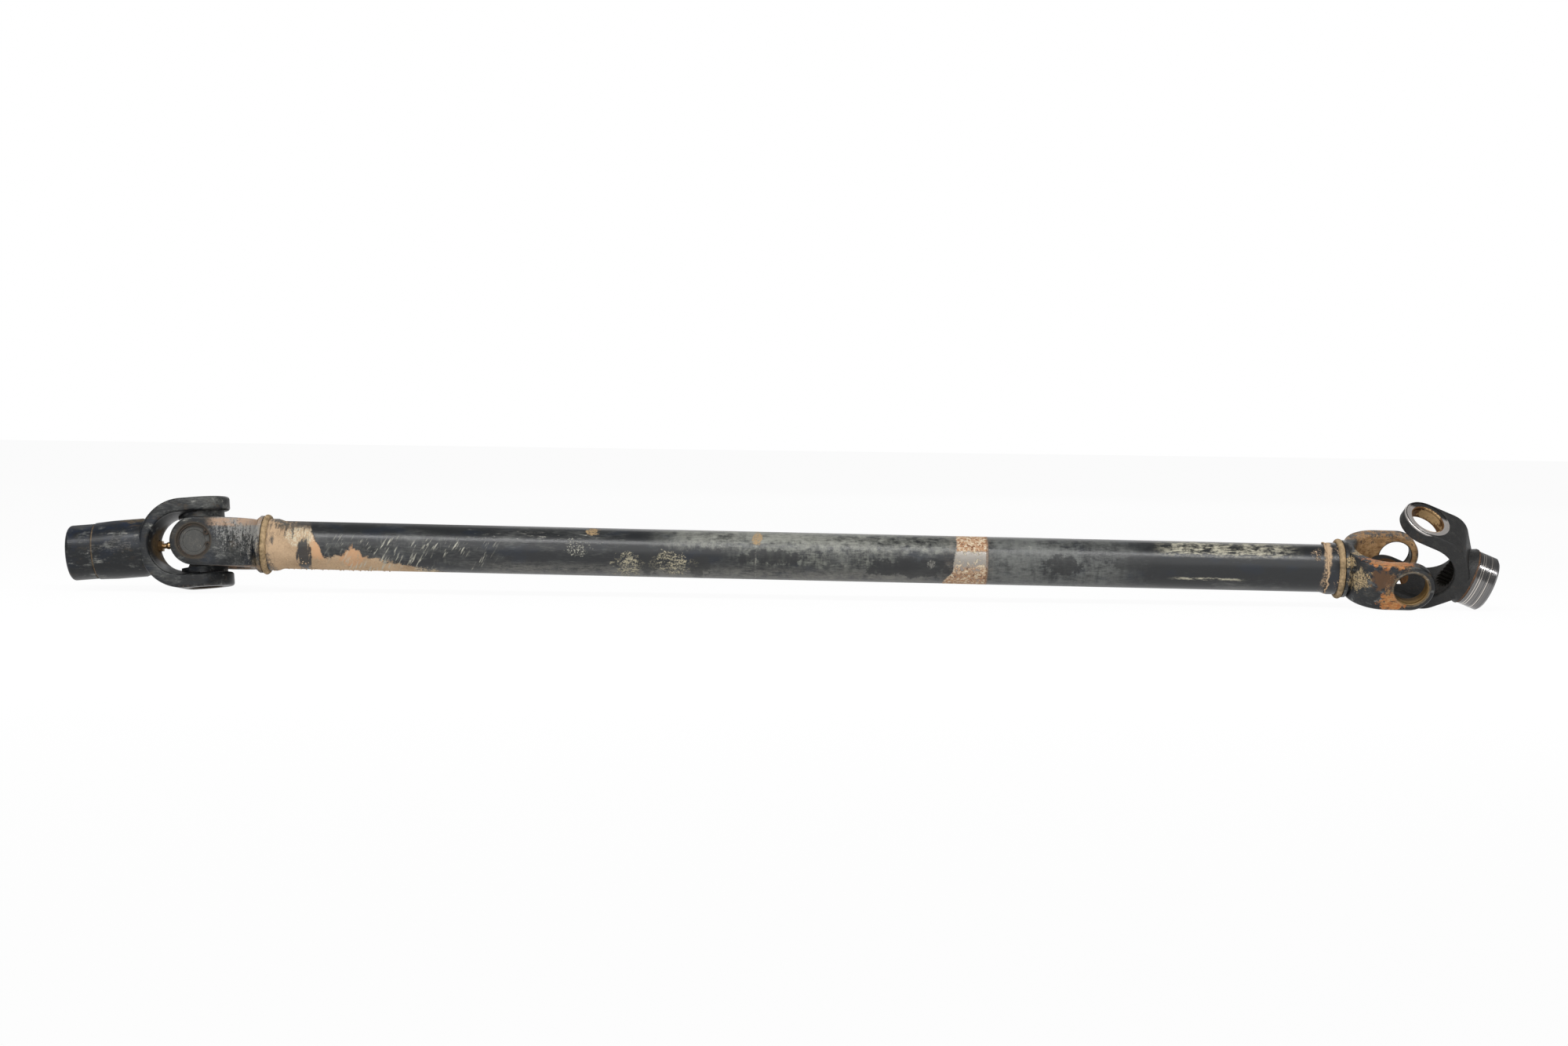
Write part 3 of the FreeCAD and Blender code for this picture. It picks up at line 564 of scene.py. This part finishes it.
def right_yoke_finish(settings):
    """The right tube yoke: paint, tan mud on the rear ear, orange rust on the front one and painted shade inside
    its bores.
    """
    coat = Finish("right_yoke_paint", settings.paint, 0.34)
    far, up = shaft_places(coat)
    worn_paint(coat, settings)
    forging_marks(coat, settings)
    ragged = coat.noise(5, 8, 1.3, 0.7)
    fine = coat.noise(1.1, 4, 9.9, 0.75)
    grain = coat.noise(1.8, 4, 15.0, 0.65, (4, 1, 1))
    round_bore = coat.reach(RIGHT_JOINT, RIGHT_EAR_AXIS)
    rightward = far - 955
    side = coat.along(LEFT_JOINT, SHAFT_SIDE)
    front = side.step(-6, -14)
    rear = side.step(4, 12)

    # Rear ear
    hand = coat.mix(tone(184, 146, 102), tone(108, 74, 42), (grain * 0.5 + ragged * 0.5).step(-0.4, 0.8))
    hand = coat.mix(hand, tone(58, 44, 30), (ragged * -0.7 + grain * 0.4).step(0.3, 0.9) * 0.7)
    muddy = (ragged * 0.5 + fine * 0.3 - (up - 16).step(0, 14) * 0.5 + 0.45).step(-0.2, 0.3)
    coat.cover(rear * muddy * (far + ragged * 3).within(905, 972, 3), hand, 0.72, rise=0.5)

    # Front ear
    rim = round_bore.within(15.6, 20.5, 0.8) * (ragged * 0.5 + fine * 0.4 - rightward * 0.02).step(0.2, 0.8)
    rust = spots(far, up, EAR_RUST_PATCHES, ragged).most(rim * 0.7)
    rust_tone = coat.mix(settings.rust, tone(178, 136, 84), (fine * 0.4 + ragged * 0.7).step(-0.5, 0.5))
    rust_tone = coat.mix(rust_tone, tone(170, 84, 26), (grain * 0.8 + up * 0.03).step(0.3, 0.9) * 0.8)
    rust_tone = coat.mix(rust_tone, tone(64, 44, 32), (fine * 0.4 - grain * 0.8).step(0.1, 0.5) * 0.9)
    coat.cover(front * spots(far, up, EAR_BROWN_PATCH, ragged) * 0.85, tone(86, 58, 32), 0.5, rise=0.2)
    coat.cover(front * rust * (fine + 0.3).step(-0.9, -0.1), rust_tone, 0.34, rise=0.4)
    tan = spots(far, up, EAR_TAN_PATCHES, ragged)
    coat.cover(front * tan * (fine + ragged * 0.3 + 0.1).step(-0.4, 0.4), tone(182, 160, 122), 0.86, rise=0.6)
    lip = round_bore.within(BORE_RADIUS + 0.8, BORE_RADIUS + 2.4, 0.4) * (ragged + fine * 0.4).step(-0.8, 0.4)
    coat.cover(front * lip * 0.55, tone(138, 120, 92), 0.7, rise=0.2)
    # Inside the bores: brown rust under painted shade, lit towards the bottom and the right
    bore = round_bore.step(BORE_RADIUS + 1.2, BORE_RADIUS + 0.4)
    lit = (ragged * 0.4 + fine * 0.3 - up * 0.06 + rightward * 0.06).step(0.1, 1.2)
    coat.cover(bore, coat.mix(tone(30, 26, 20), tone(110, 86, 48), lit), 0.5, 0.2)
    return coat.done(0.3, 0.4)


def slip_yoke_finish(settings):
    """The slip yoke: black paint with a painted bluish sheen, a dusty line at its step and a rusty throat."""
    coat = Finish("slip_yoke_paint", settings.paint, 0.34)
    far = coat.along(LEFT_JOINT, SLIP_AXIS)
    up = coat.along(LEFT_JOINT, SLIP_EAR_AXIS)
    out = coat.reach(LEFT_JOINT, SLIP_AXIS)
    worn_paint(coat, settings)
    forging_marks(coat, settings)
    ragged = coat.noise(7, 8, 2.9, 0.7)
    fine = coat.noise(1.2, 4, 7.4, 0.7, (2, 1, 1))
    # A painted bluish sheen in patches, away from the ears and stronger towards the top
    top_sheen = (ragged * 0.6 + up * 0.02 + 0.25).step(0.2, 1.1) * far.step(40, 60)
    coat.cover(top_sheen * 0.5, tone(22, 34, 56), 0.26)
    step_line = (far + fine * 0.25).within(SLIP_COLLAR_START - 1.1, SLIP_COLLAR_START - 0.1, 0.3)
    step_line = step_line * (ragged * 0.4 + fine * 0.4).step(-0.8, 0.6)
    coat.cover(step_line * 0.85, tone(134, 112, 84), 0.8, rise=0.3)
    smear = spots(far, up, SLIP_SMEAR_PATCH, ragged) * fine.step(-0.3, 0.9)
    coat.cover(smear * 0.4, tone(118, 116, 112), 0.7)
    belly = up.step(-33, -35.8) * far.within(-12, 26, 8) * (fine * 0.5 + ragged * 0.5).step(0.1, 0.8)
    coat.cover(belly * 0.8, tone(160, 132, 114), 0.8, rise=0.3)
    ridge = up.step(33, 36) * far.within(-20, 30, 8) * (fine * 0.5 + ragged * 0.4).step(0.1, 1.0)
    coat.cover(ridge * 0.4, tone(122, 122, 124), 0.6)
    brow = spots(far, up, SLIP_BROW_PATCH, ragged) * fine.step(-0.6, 0.6)
    coat.cover(brow * 0.55, tone(112, 92, 58), 0.8)
    hollow = out.step(19, 12) * far.within(20, 41, 3)
    throat_tone = coat.mix(tone(88, 70, 44), tone(40, 34, 26), (ragged * 0.5 + fine * 0.3).step(-0.5, 0.8))
    coat.cover(hollow, throat_tone, 0.72, rise=0.3)
    coat.cover(out.step(16.2, 15.4) * far.step(48, 50), tone(96, 92, 86), 0.45, 0.8)
    seat = coat.reach(LEFT_JOINT, SLIP_EAR_AXIS).step(14.4, 13.6)
    coat.cover(seat * 0.9, tone(74, 62, 48), 0.6, 0.3)
    return coat.done(0.25, 0.3)


def end_yoke_finish(settings):
    """The end yoke: a dark forging with a polished collar, bright spot faces and rusty bores."""
    coat = Finish("end_yoke_steel", tone(34, 34, 34), 0.45)
    far = coat.along(END_JOINT, END_AXIS)
    out = coat.reach(END_JOINT, END_AXIS)
    up = coat.along(END_JOINT, END_EAR_AXIS)
    round_bore = coat.reach(END_JOINT, END_EAR_AXIS)
    ragged = coat.noise(6, 5, 5.9, 0.65)
    fine = coat.noise(1.1, 4, 7.9, 0.7)
    coat.cover((ragged * 0.5 + fine * 0.3).step(-0.1, 1.2) * 0.3, tone(104, 102, 96), 0.6)
    brown = (coat.noise(10, 6, 55.0, 0.65) + fine * 0.2).step(0.3, 1.1)
    coat.cover(brown * 0.35, tone(84, 66, 46), 0.65)
    flecks = coat.noise(0.8, 2, 25.0).step(1.1, 1.4)
    coat.cover(flecks * 0.7, tone(170, 166, 156), 0.6, rise=0.2)
    coat.height = coat.noise(1.6, 4, 4.9) * 0.22 + fine * 0.06 + coat.height

    # The bore and its bright spot face
    ear = up.size()
    seat = ear.within(EAR_FACE - 0.3, EAR_FACE + 0.3, 0.15) * round_bore.step(17.9, 17.4)
    wall = round_bore.within(16.9, 18.0, 0.25) * ear.step(EAR_FACE - 0.5, EAR_FACE - 0.1)
    rim = round_bore.within(17.2, 19.3, 0.3) * ear.within(EAR_FACE - 1.4, EAR_FACE + 0.2, 0.15)
    near = coat.along(END_JOINT, END_NEAR).step(-10, -4)
    bright = seat.most(wall).most(rim) * near
    coat.cover(bright, tone(214, 208, 204), 0.30, 0.9)
    coat.cover(bright * (ragged * 0.4 + fine * 0.5).step(0.35, 0.9) * 0.7, tone(128, 100, 84), 0.6)
    bore_tone = coat.mix(settings.old_rust, tone(178, 148, 106), spots(far, up, BORE_PALE_PATCH, ragged))
    bore_tone = coat.mix(bore_tone, tone(50, 36, 24), (ragged * 0.5 + fine * 0.3).step(0.0, 0.9))
    coat.cover(round_bore.step(14.3, 13.7) * ear.step(20, 23), bore_tone, 0.55, 0.25, 0.2)

    # The polished collar, with turned marks and rings worn by its seal
    collar = far.step(COLLAR_START - 0.9, COLLAR_START - 0.4) * out.step(17, 18)
    turning = coat.add("ShaderNodeCombineXYZ", {}, [far * 2.2, out * 0.4, 0.0])
    turned = coat.noise_at(turning, 5.0, 0.75, 3.0)
    coat.cover(collar, coat.mix(tone(92, 92, 94), tone(176, 172, 168), turned.step(-0.4, 1.0)), 0.2, 1.0)
    coat.cover(collar * turned.step(0.2, 0.8) * 0.5, tone(122, 108, 94), 0.36, 0.9)
    coat.height = coat.height * (1 - collar.most(bright))
    for ring in SEAL_RINGS:
        place = COLLAR_START + ring
        coat.cover(far.within(place - 0.22, place + 0.22, 0.16) * collar, tone(224, 216, 206), 0.2, 1.0, 0.2)
    dull = far.step(COLLAR_START + 11.4, COLLAR_START + 12.2) * collar
    coat.cover(dull * 0.35, tone(110, 110, 112), 0.3, 1.0)
    line = far.within(COLLAR_START - 1.8, COLLAR_START - 0.2, 0.4) * out.step(17, 18)
    coat.cover(line * (ragged * 0.4 + fine * 0.4).step(-0.8, 0.3), tone(120, 84, 54), 0.75, 0.2, 0.2)
    coat.cover(out.step(16.4, 15.6) * far.step(22, 27), tone(40, 38, 34), 0.5, 0.6)
    return coat.done(0.25, 0.3)


def weld_finish(name, dark):
    """A weld bead under paint and mud. dark is how much of the paint shows."""
    coat = Finish(name, tone(110, 92, 62), 0.7)
    ragged = coat.noise(5, 5, 3.9, 0.65)
    fine = coat.noise(1.0, 4, 6.4, 0.7)
    coat.cover((ragged * 0.5 + fine * 0.3).step(-0.6, 0.6), tone(176, 150, 114), 0.82, rise=0.5)
    coat.cover((fine * 0.5 - ragged * 0.4).step(0.3, 0.9) * dark, tone(52, 48, 40), 0.55)
    coat.height = fine * 0.3 + coat.height
    return coat.done(0.25)


def steel_finish(name, colour, roughness, dirt, dirt_share, metallic=1.0):
    """Steel with stains, or another plain material. dirt_share is from 0, clean, to 1."""
    coat = Finish(name, colour, roughness, metallic)
    blotch = coat.noise(3.5, 5, 2.6, 0.65)
    fine = coat.noise(0.7, 3, 6.6, 0.6)
    share = (blotch * 0.5 + fine * 0.35 + (dirt_share - 0.5) * 2.4).step(-0.4, 0.8)
    coat.cover(share, dirt, 0.72, rise=0.3)
    coat.height = fine * 0.12 + coat.height
    return coat.done(0.12)


def cap_finish():
    """A bearing cap's dark dusty face, rusty round its rim."""
    coat = Finish("cap_steel", tone(70, 70, 68), 0.52, 0.55)
    blotch = coat.noise(4, 6, 8.2, 0.65)
    fine = coat.noise(0.7, 3, 1.6, 0.6)
    coat.cover((blotch * 0.5 + fine * 0.3).step(-0.2, 0.9) * 0.55, tone(98, 94, 88), 0.72)
    shaft_rim = coat.reach(LEFT_JOINT, LEFT_EAR_AXIS).step(9.6, 12.6)
    slip_rim = coat.reach(LEFT_JOINT, SLIP_EAR_AXIS).step(9.6, 12.6)
    edge = shaft_rim * slip_rim * (blotch * 0.5 + fine * 0.4).step(-0.2, 0.8)
    coat.cover(edge * 0.6, tone(92, 66, 48), 0.8, rise=0.2)
    coat.cover(coat.noise(0.9, 3, 33.0).step(0.75, 1.1) * 0.6, tone(158, 144, 122), 0.7)
    coat.height = fine * 0.15 + coat.height
    return coat.done(0.15)


class Tree(Nodes):
    """A geometry node tree with named inputs."""

    def __init__(self, name, inputs):
        super().__init__(bpy.data.node_groups.new(name, "GeometryNodeTree"))
        self.tree.interface.new_socket("Geometry", in_out="OUTPUT", socket_type="NodeSocketGeometry")
        for label, kind in inputs.items():
            self.tree.interface.new_socket(label, in_out="INPUT", socket_type="NodeSocket" + kind)
        source = self.tree.nodes.new("NodeGroupInput")
        self.given = {socket.name: Value(self, socket) for socket in source.outputs}

    def drift(self, scale, detail, rough=0.5):
        """Noise about 0 at each point, different for each seed."""
        place = self.add("GeometryNodeInputPosition")
        inputs = {
            "Vector": place, "W": self.given["Seed"], "Scale": scale, "Detail": detail, "Roughness": rough}
        return self.add("ShaderNodeTexNoise", {"noise_dimensions": "4D"}, inputs) - 0.5

    def bar(self, path, sides, radius, caps):
        """Ends the tree in a round bar along a path, at the tree's place and turn."""
        profile = self.add("GeometryNodeCurvePrimitiveCircle", {}, {"Resolution": sides, "Radius": 1.0})
        bar = self.add("GeometryNodeCurveToMesh", {}, {
            "Curve": path, "Profile Curve": profile, "Scale": radius, "Fill Caps": caps})
        moved = self.add("GeometryNodeTransform", {}, {
            "Geometry": bar, "Translation": self.given["Place"], "Rotation": self.given["Turn"]})
        return self.finish(moved)

    def finish(self, geometry):
        """Ends the tree in real, smooth geometry with its material."""
        real = self.add("GeometryNodeRealizeInstances", {}, [geometry])
        smooth = self.add("GeometryNodeSetShadeSmooth", {}, [real])
        paint = {"Geometry": smooth, "Material": self.given["Material"]}
        return self.end(self.add("GeometryNodeSetMaterial", {}, paint))

    def end(self, geometry):
        """Sends a geometry out of the tree."""
        self.add("NodeGroupOutput", {}, [geometry])
        return self.tree


def smoothing_tree():
    """Geometry nodes that join a mesh's triangles and shade its curves smooth."""
    name = "smooth_curves"
    if name in bpy.data.node_groups:
        return bpy.data.node_groups[name]
    tree = Tree(name, {"Geometry": "Geometry"})
    welded = tree.add("GeometryNodeMergeByDistance", {}, {
        "Geometry": tree.given["Geometry"], "Distance": 0.000002})
    angle = tree.add("GeometryNodeInputMeshEdgeAngle", output="Unsigned Angle")
    soft = tree.add("FunctionNodeCompare", {"operation": "LESS_THAN"}, {"A": angle, "B": math.radians(28)})
    faces = tree.add("GeometryNodeSetShadeSmooth", {}, [welded])
    edges = tree.add("GeometryNodeSetShadeSmooth", {"domain": "EDGE"}, {
        "Geometry": faces, "Shade Smooth": soft})
    return tree.end(edges)


def dress(node, material):
    """Gives a CAD node its material and smooth shading across its curved faces."""
    piece = frame["nodes"][node]
    piece.data.materials.clear()
    piece.data.materials.append(material)
    modifier = piece.modifiers.new("smooth", "NODES")
    modifier.node_group = smoothing_tree()


def add_object(name, data):
    """Makes an object and links it to the scene."""
    item = bpy.data.objects.new(name, data)
    bpy.context.scene.collection.objects.link(item)
    return item


def grow(name, tree, values, body):
    """Runs a geometry tree once and keeps what it makes as a plain mesh that rides on a body."""
    mesh = bpy.data.meshes.new(name)
    piece = add_object(name, mesh)
    modifier = piece.modifiers.new("grow", "NODES")
    modifier.node_group = tree
    for item in tree.interface.items_tree:
        if item.in_out == "INPUT" and item.name in values:
            modifier[item.identifier] = values[item.name]
    bpy.context.view_layer.update()
    evaluated = piece.evaluated_get(bpy.context.evaluated_depsgraph_get())
    made = bpy.data.meshes.new_from_object(evaluated)
    piece.modifiers.clear()
    piece.data = made
    made.name = name
    bpy.data.meshes.remove(mesh)
    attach(piece, body)
    return piece


def ring_place(distance):
    """The point, in metres, and the turn of a ring about the shaft at a distance from the left joint."""
    turn = Matrix((SHAFT_UP, SHAFT_SIDE * -1, SHAFT_AXIS)).transposed().to_euler()
    return (LEFT_JOINT + SHAFT_AXIS * distance) / MM, turn


def bead_tree():
    """A weld bead: a ring whose thickness ripples and wanders as it goes round."""
    tree = Tree("weld_bead_ring", {
        "Ring Radius": "Float", "Bead Radius": "Float", "Ripples": "Int", "Ripple Depth": "Float",
        "Place": "Vector", "Turn": "Rotation", "Seed": "Float", "Material": "Material"})
    given = tree.given
    ring = tree.add("GeometryNodeCurvePrimitiveCircle", {}, {
        "Resolution": given["Ripples"] * 10.0, "Radius": given["Ring Radius"]})
    share = tree.add("GeometryNodeSplineParameter")
    swell = (share * math.pi * given["Ripples"]).sine().size() * given["Ripple Depth"]
    radius = (swell + tree.drift(190.0, 3.0) * 0.26 + 0.96) * given["Bead Radius"]
    return tree.bar(ring, 18, radius, False)


def ridge_tree():
    """A ragged ridge of dried mud that runs part of the way round the tube."""
    tree = Tree("mud_ridge", {
        "Ring Radius": "Float", "Ridge Radius": "Float", "Wander": "Float", "Start": "Float",
        "Sweep": "Float", "Place": "Vector", "Turn": "Rotation", "Seed": "Float", "Material": "Material"})
    given = tree.given
    arc = tree.add("GeometryNodeCurveArc", {}, {
        "Resolution": 220, "Radius": given["Ring Radius"], "Start Angle": given["Start"],
        "Sweep Angle": given["Sweep"]})
    offset = tree.drift(75.0, 4.0, 0.6) * given["Wander"]
    sideways = tree.add("ShaderNodeCombineXYZ", {}, [0.0, 0.0, offset])
    bent = tree.add("GeometryNodeSetPosition", {}, {"Geometry": arc, "Offset": sideways})
    ends = (tree.add("GeometryNodeSplineParameter") * math.pi).sine()
    radius = ends.power(0.35) * (tree.drift(330.0, 3.0) + 0.75) * given["Ridge Radius"]
    return tree.bar(bent, 10, radius, True)


def crumb_tree():
    """Crumbs of dried mud scattered over a stretch of a piece."""
    tree = Tree("mud_crumbs", {
        "Carrier": "Object", "Density": "Float", "Low": "Vector", "High": "Vector",
        "Seed": "Int", "Material": "Material"})
    given = tree.given
    carrier = tree.add(
        "GeometryNodeObjectInfo", {"transform_space": "RELATIVE"}, [given["Carrier"]], "Geometry")
    place = tree.add("GeometryNodeInputPosition")
    above = tree.vector("SUBTRACT", place, given["Low"])
    below = tree.vector("SUBTRACT", given["High"], place)
    nearest = tree.vector("MINIMUM", above, below)
    sides = [tree.add("ShaderNodeSeparateXYZ", {}, [nearest], side) for side in range(3)]
    least = sides[0].least(sides[1]).least(sides[2])
    inside = least.math("GREATER_THAN", least, 0.0)
    scattered = tree.add("GeometryNodeDistributePointsOnFaces", {}, {
        "Mesh": carrier, "Density": given["Density"], "Seed": given["Seed"]})
    crumb = tree.add("GeometryNodeMeshIcoSphere", {}, {"Radius": 1.0, "Subdivisions": 1})
    size = tree.add("FunctionNodeRandomValue", {"data_type": "FLOAT"}, {
        2: 0.00018, 3: 0.0008, "Seed": given["Seed"]}, 1)
    spin = tree.add("FunctionNodeRandomValue", {"data_type": "FLOAT_VECTOR"}, {
        0: (0.0, 0.0, 0.0), 1: (6.283, 6.283, 6.283), "Seed": given["Seed"]}, 0)
    spread = tree.add("GeometryNodeInstanceOnPoints", {}, {
        "Points": scattered, "Selection": inside, "Instance": crumb, "Rotation": spin, "Scale": size})
    return tree.finish(spread)


class DRIVESHAFT_OT_tube(bpy.types.Operator):
    """Paint the tube, with its mud, scuffs and bare band"""

    bl_idname = "driveshaft.tube"
    bl_label = "Tube"

    def execute(self, context):
        dress("drive_tube", tube_finish(context.scene.shaft_finish))
        return {"FINISHED"}


class DRIVESHAFT_OT_tube_yokes(bpy.types.Operator):
    """Paint the two tube yokes, with mud and rust"""

    bl_idname = "driveshaft.tube_yokes"
    bl_label = "Tube yokes"

    def execute(self, context):
        dress("left_tube_yoke", left_yoke_finish(context.scene.shaft_finish))
        dress("right_tube_yoke", right_yoke_finish(context.scene.shaft_finish))
        return {"FINISHED"}


class DRIVESHAFT_OT_weld_beads(bpy.types.Operator):
    """Lay the rippled weld beads at both ends of the tube"""

    bl_idname = "driveshaft.weld_beads"
    bl_label = "Weld beads"

    def execute(self, context):
        welds = context.scene.shaft_welds
        tree = bead_tree()
        ends = (
            ("left_weld_bead", WELD_CENTRE, 0.8, 1.7),
            ("right_weld_bead", SHAFT_LENGTH - WELD_CENTRE, 0.15, 5.2),
        )
        for node, distance, dark, seed in ends:
            place, turn = ring_place(distance)
            values = {
                "Ring Radius": welds.ring_radius,
                "Bead Radius": welds.bead_radius,
                "Ripples": welds.ripples,
                "Ripple Depth": welds.ripple_depth,
                "Place": place,
                "Turn": turn,
                "Seed": seed,
                "Material": weld_finish(node + "_metal", dark),
            }
            bead = grow(node + "_ripples", tree, values, "shaft")
            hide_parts(node)
        return {"FINISHED"}


class DRIVESHAFT_OT_mud(bpy.types.Operator):
    """Add the ridge and crumbs of dried mud on the tube"""

    bl_idname = "driveshaft.mud"
    bl_label = "Mud"

    def execute(self, context):
        settings = context.scene.shaft_finish
        welds = context.scene.shaft_welds
        mud = steel_finish("dried_mud", settings.mud, 0.88, tone(146, 112, 80), 0.4, 0.0)
        place, turn = ring_place(RIDGE_PLACE)
        ridge = {
            "Ring Radius": 0.0204, "Ridge Radius": 0.0010, "Wander": 0.010, "Start": -0.6, "Sweep": 3.5,
            "Place": place, "Turn": turn, "Seed": 3.4, "Material": mud,
        }
        grow("mud_ridge", ridge_tree(), ridge, "shaft")
        crumbs = {
            "Carrier": frame["nodes"]["drive_tube"], "Density": welds.crumbs * 10000.0,
            "Low": LEFT_JOINT / MM + CRUMB_LOW, "High": LEFT_JOINT / MM + CRUMB_HIGH,
            "Seed": 7, "Material": mud,
        }
        grow("mud_crumbs", crumb_tree(), crumbs, "shaft")
        return {"FINISHED"}


class DRIVESHAFT_OT_slip_yoke(bpy.types.Operator):
    """Paint the slip yoke and dirty its grease nipple"""

    bl_idname = "driveshaft.slip_yoke"
    bl_label = "Slip yoke"

    def execute(self, context):
        dress("slip_yoke", slip_yoke_finish(context.scene.shaft_finish))
        brass = steel_finish("nipple_metal", tone(176, 146, 108), 0.3, tone(116, 90, 56), 0.35)
        dress("grease_nipple", brass)
        return {"FINISHED"}


class DRIVESHAFT_OT_end_yoke(bpy.types.Operator):
    """Finish the loose end yoke's forging, collar and bores"""

    bl_idname = "driveshaft.end_yoke"
    bl_label = "End yoke"

    def execute(self, context):
        dress("end_yoke", end_yoke_finish(context.scene.shaft_finish))
        return {"FINISHED"}


class DRIVESHAFT_OT_joint(bpy.types.Operator):
    """Finish the cross and its bearings, seals and circlips"""

    bl_idname = "driveshaft.joint"
    bl_label = "Universal joint"

    def execute(self, context):
        grease = tone(62, 46, 28)
        finishes = {
            "bearing_cap": cap_finish(),
            "needles": steel_finish("needle_steel", tone(200, 200, 200), 0.2, grease, 0.2),
            "thrust_washer": steel_finish("washer_plastic", tone(206, 196, 170), 0.5, grease, 0.25, 0.0),
            "cap_seal": steel_finish("seal_rubber", tone(30, 29, 28), 0.6, tone(84, 68, 48), 0.3, 0.0),
            "circlip": steel_finish("circlip_steel", tone(58, 54, 50), 0.4, tone(96, 68, 46), 0.35),
        }
        for place in ("front", "rear", "upper", "lower"):
            for kind, material in finishes.items():
                dress(kind + "_" + place, material)
        dress("joint_cross", steel_finish("cross_steel", tone(138, 132, 124), 0.4, tone(70, 54, 36), 0.5))
        return {"FINISHED"}


def lamp(name, size, spread, power, place):
    """A soft rectangular lamp that points at the shaft's middle, and stands at a place from it."""
    light = bpy.data.lights.new(name, "AREA")
    light.shape = "RECTANGLE"
    light.size = size
    light.size_y = spread
    light.energy = power
    holder = add_object(name, light)
    holder.location = SHAFT_MIDDLE + place
    holder.rotation_euler = (place * -1).to_track_quat("-Z", "Y").to_euler()


def stage_material(name, shade, glow):
    """A pale matt surface that the camera sees as nearly white, and that keeps the shaft's shadow."""
    material = bpy.data.materials.new(name)
    material.use_nodes = True
    nodes = Nodes(material.node_tree)
    camera = nodes.add("ShaderNodeLightPath", output="Is Camera Ray")
    mirrored = nodes.add("ShaderNodeLightPath", output="Is Glossy Ray")
    diffuse = nodes.add("ShaderNodeBsdfDiffuse", {}, {"Color": (shade, shade, shade)})
    white = nodes.add("ShaderNodeEmission", {}, {"Color": WHITE, "Strength": 1.0})
    shown = nodes.add("ShaderNodeMixShader", {}, [camera.most(mirrored) * glow, diffuse, white])
    nodes.add("ShaderNodeOutputMaterial", {}, {"Surface": shown})
    return material


class DRIVESHAFT_OT_stage(bpy.types.Operator):
    """Set the floor, lamps, sky and camera"""

    bl_idname = "driveshaft.stage"
    bl_label = "Stage"

    def execute(self, context):
        settings = context.scene.shaft_stage
        self.floor()
        self.sky(context.scene, settings)
        lamp("key_lamp", 2.6, 0.06, settings.key, KEY_PLACE)
        lamp("fill_lamp", 1.6, 1.6, settings.fill, FILL_PLACE)
        lamp("back_lamp", 1.6, 1.6, settings.back, BACK_PLACE)
        self.camera(context.scene, settings)
        context.scene.view_settings.view_transform = "Standard"
        return {"FINISHED"}

    def floor(self):
        mesh = bpy.data.meshes.new("floor")
        half = FLOOR_HALF
        corners = [(-half, -half, 0), (half, -half, 0), (half, half, 0), (-half, half, 0)]
        mesh.from_pydata(corners, [], [(0, 1, 2, 3)])
        mesh.materials.append(stage_material("floor_white", 0.88, 0.95))
        floor = add_object("floor", mesh)

    def sky(self, scene, settings):
        world = bpy.data.worlds.new("sky")
        world.use_nodes = True
        nodes = Nodes(world.node_tree)
        camera = nodes.add("ShaderNodeLightPath", output="Is Camera Ray")
        even = nodes.add("ShaderNodeBackground", {}, {"Color": WHITE, "Strength": settings.sky})
        white = nodes.add("ShaderNodeBackground", {}, {"Color": WHITE, "Strength": 1.0})
        shown = nodes.add("ShaderNodeMixShader", {}, [camera, even, white])
        nodes.add("ShaderNodeOutputWorld", {}, {"Surface": shown})
        scene.world = world

    def camera(self, scene, settings):
        rise = settings.elevation
        ahead = Vector((0.0, math.cos(rise), -math.sin(rise)))
        level = Vector((1.0, 0.0, 0.0))
        upright = level.cross(ahead)
        right = level * math.cos(settings.roll) + upright * math.sin(settings.roll)
        up = upright * math.cos(settings.roll) - level * math.sin(settings.roll)
        aim = SHAFT_MIDDLE - right * settings.aim_left + up * settings.aim_up
        data = bpy.data.cameras.new("camera")
        data.lens = settings.lens
        data.sensor_width = 36.0
        data.clip_start = 0.01
        data.clip_end = 100.0
        camera = add_object("camera", data)
        turn = Matrix((right, up, ahead * -1)).transposed().to_4x4()
        camera.matrix_world = Matrix.Translation(aim - ahead * settings.distance) @ turn
        scene.camera = camera


OPERATORS = (
    DRIVESHAFT_OT_stage,
    DRIVESHAFT_OT_tube,
    DRIVESHAFT_OT_tube_yokes,
    DRIVESHAFT_OT_weld_beads,
    DRIVESHAFT_OT_mud,
    DRIVESHAFT_OT_slip_yoke,
    DRIVESHAFT_OT_end_yoke,
    DRIVESHAFT_OT_joint,
)


class DRIVESHAFT_PT_panel(bpy.types.Panel):
    """The drive shaft's pieces"""

    bl_label = "Drive Shaft"
    bl_idname = "DRIVESHAFT_PT_panel"
    bl_space_type = "VIEW_3D"
    bl_region_type = "UI"
    bl_category = "Drive Shaft"

    def draw(self, context):
        for operator in OPERATORS:
            self.layout.operator(operator.bl_idname)
        for group in ("shaft_finish", "shaft_welds", "shaft_stage"):
            settings = getattr(context.scene, group)
            box = self.layout.box()
            for name in settings.__annotations__:
                box.prop(settings, name)


CLASSES = (ShaftFinish, ShaftWelds, ShaftStage, *OPERATORS, DRIVESHAFT_PT_panel)


def register():
    for item in CLASSES:
        bpy.utils.register_class(item)
    bpy.types.Scene.shaft_finish = bpy.props.PointerProperty(type=ShaftFinish)
    bpy.types.Scene.shaft_welds = bpy.props.PointerProperty(type=ShaftWelds)
    bpy.types.Scene.shaft_stage = bpy.props.PointerProperty(type=ShaftStage)


def unregister():
    del bpy.types.Scene.shaft_stage
    del bpy.types.Scene.shaft_welds
    del bpy.types.Scene.shaft_finish
    for item in reversed(CLASSES):
        bpy.utils.unregister_class(item)


def main():
    register()
    for operator in OPERATORS:
        group, name = operator.bl_idname.split(".")
        getattr(getattr(bpy.ops, group), name)()


if __name__ == "__main__":
    main()
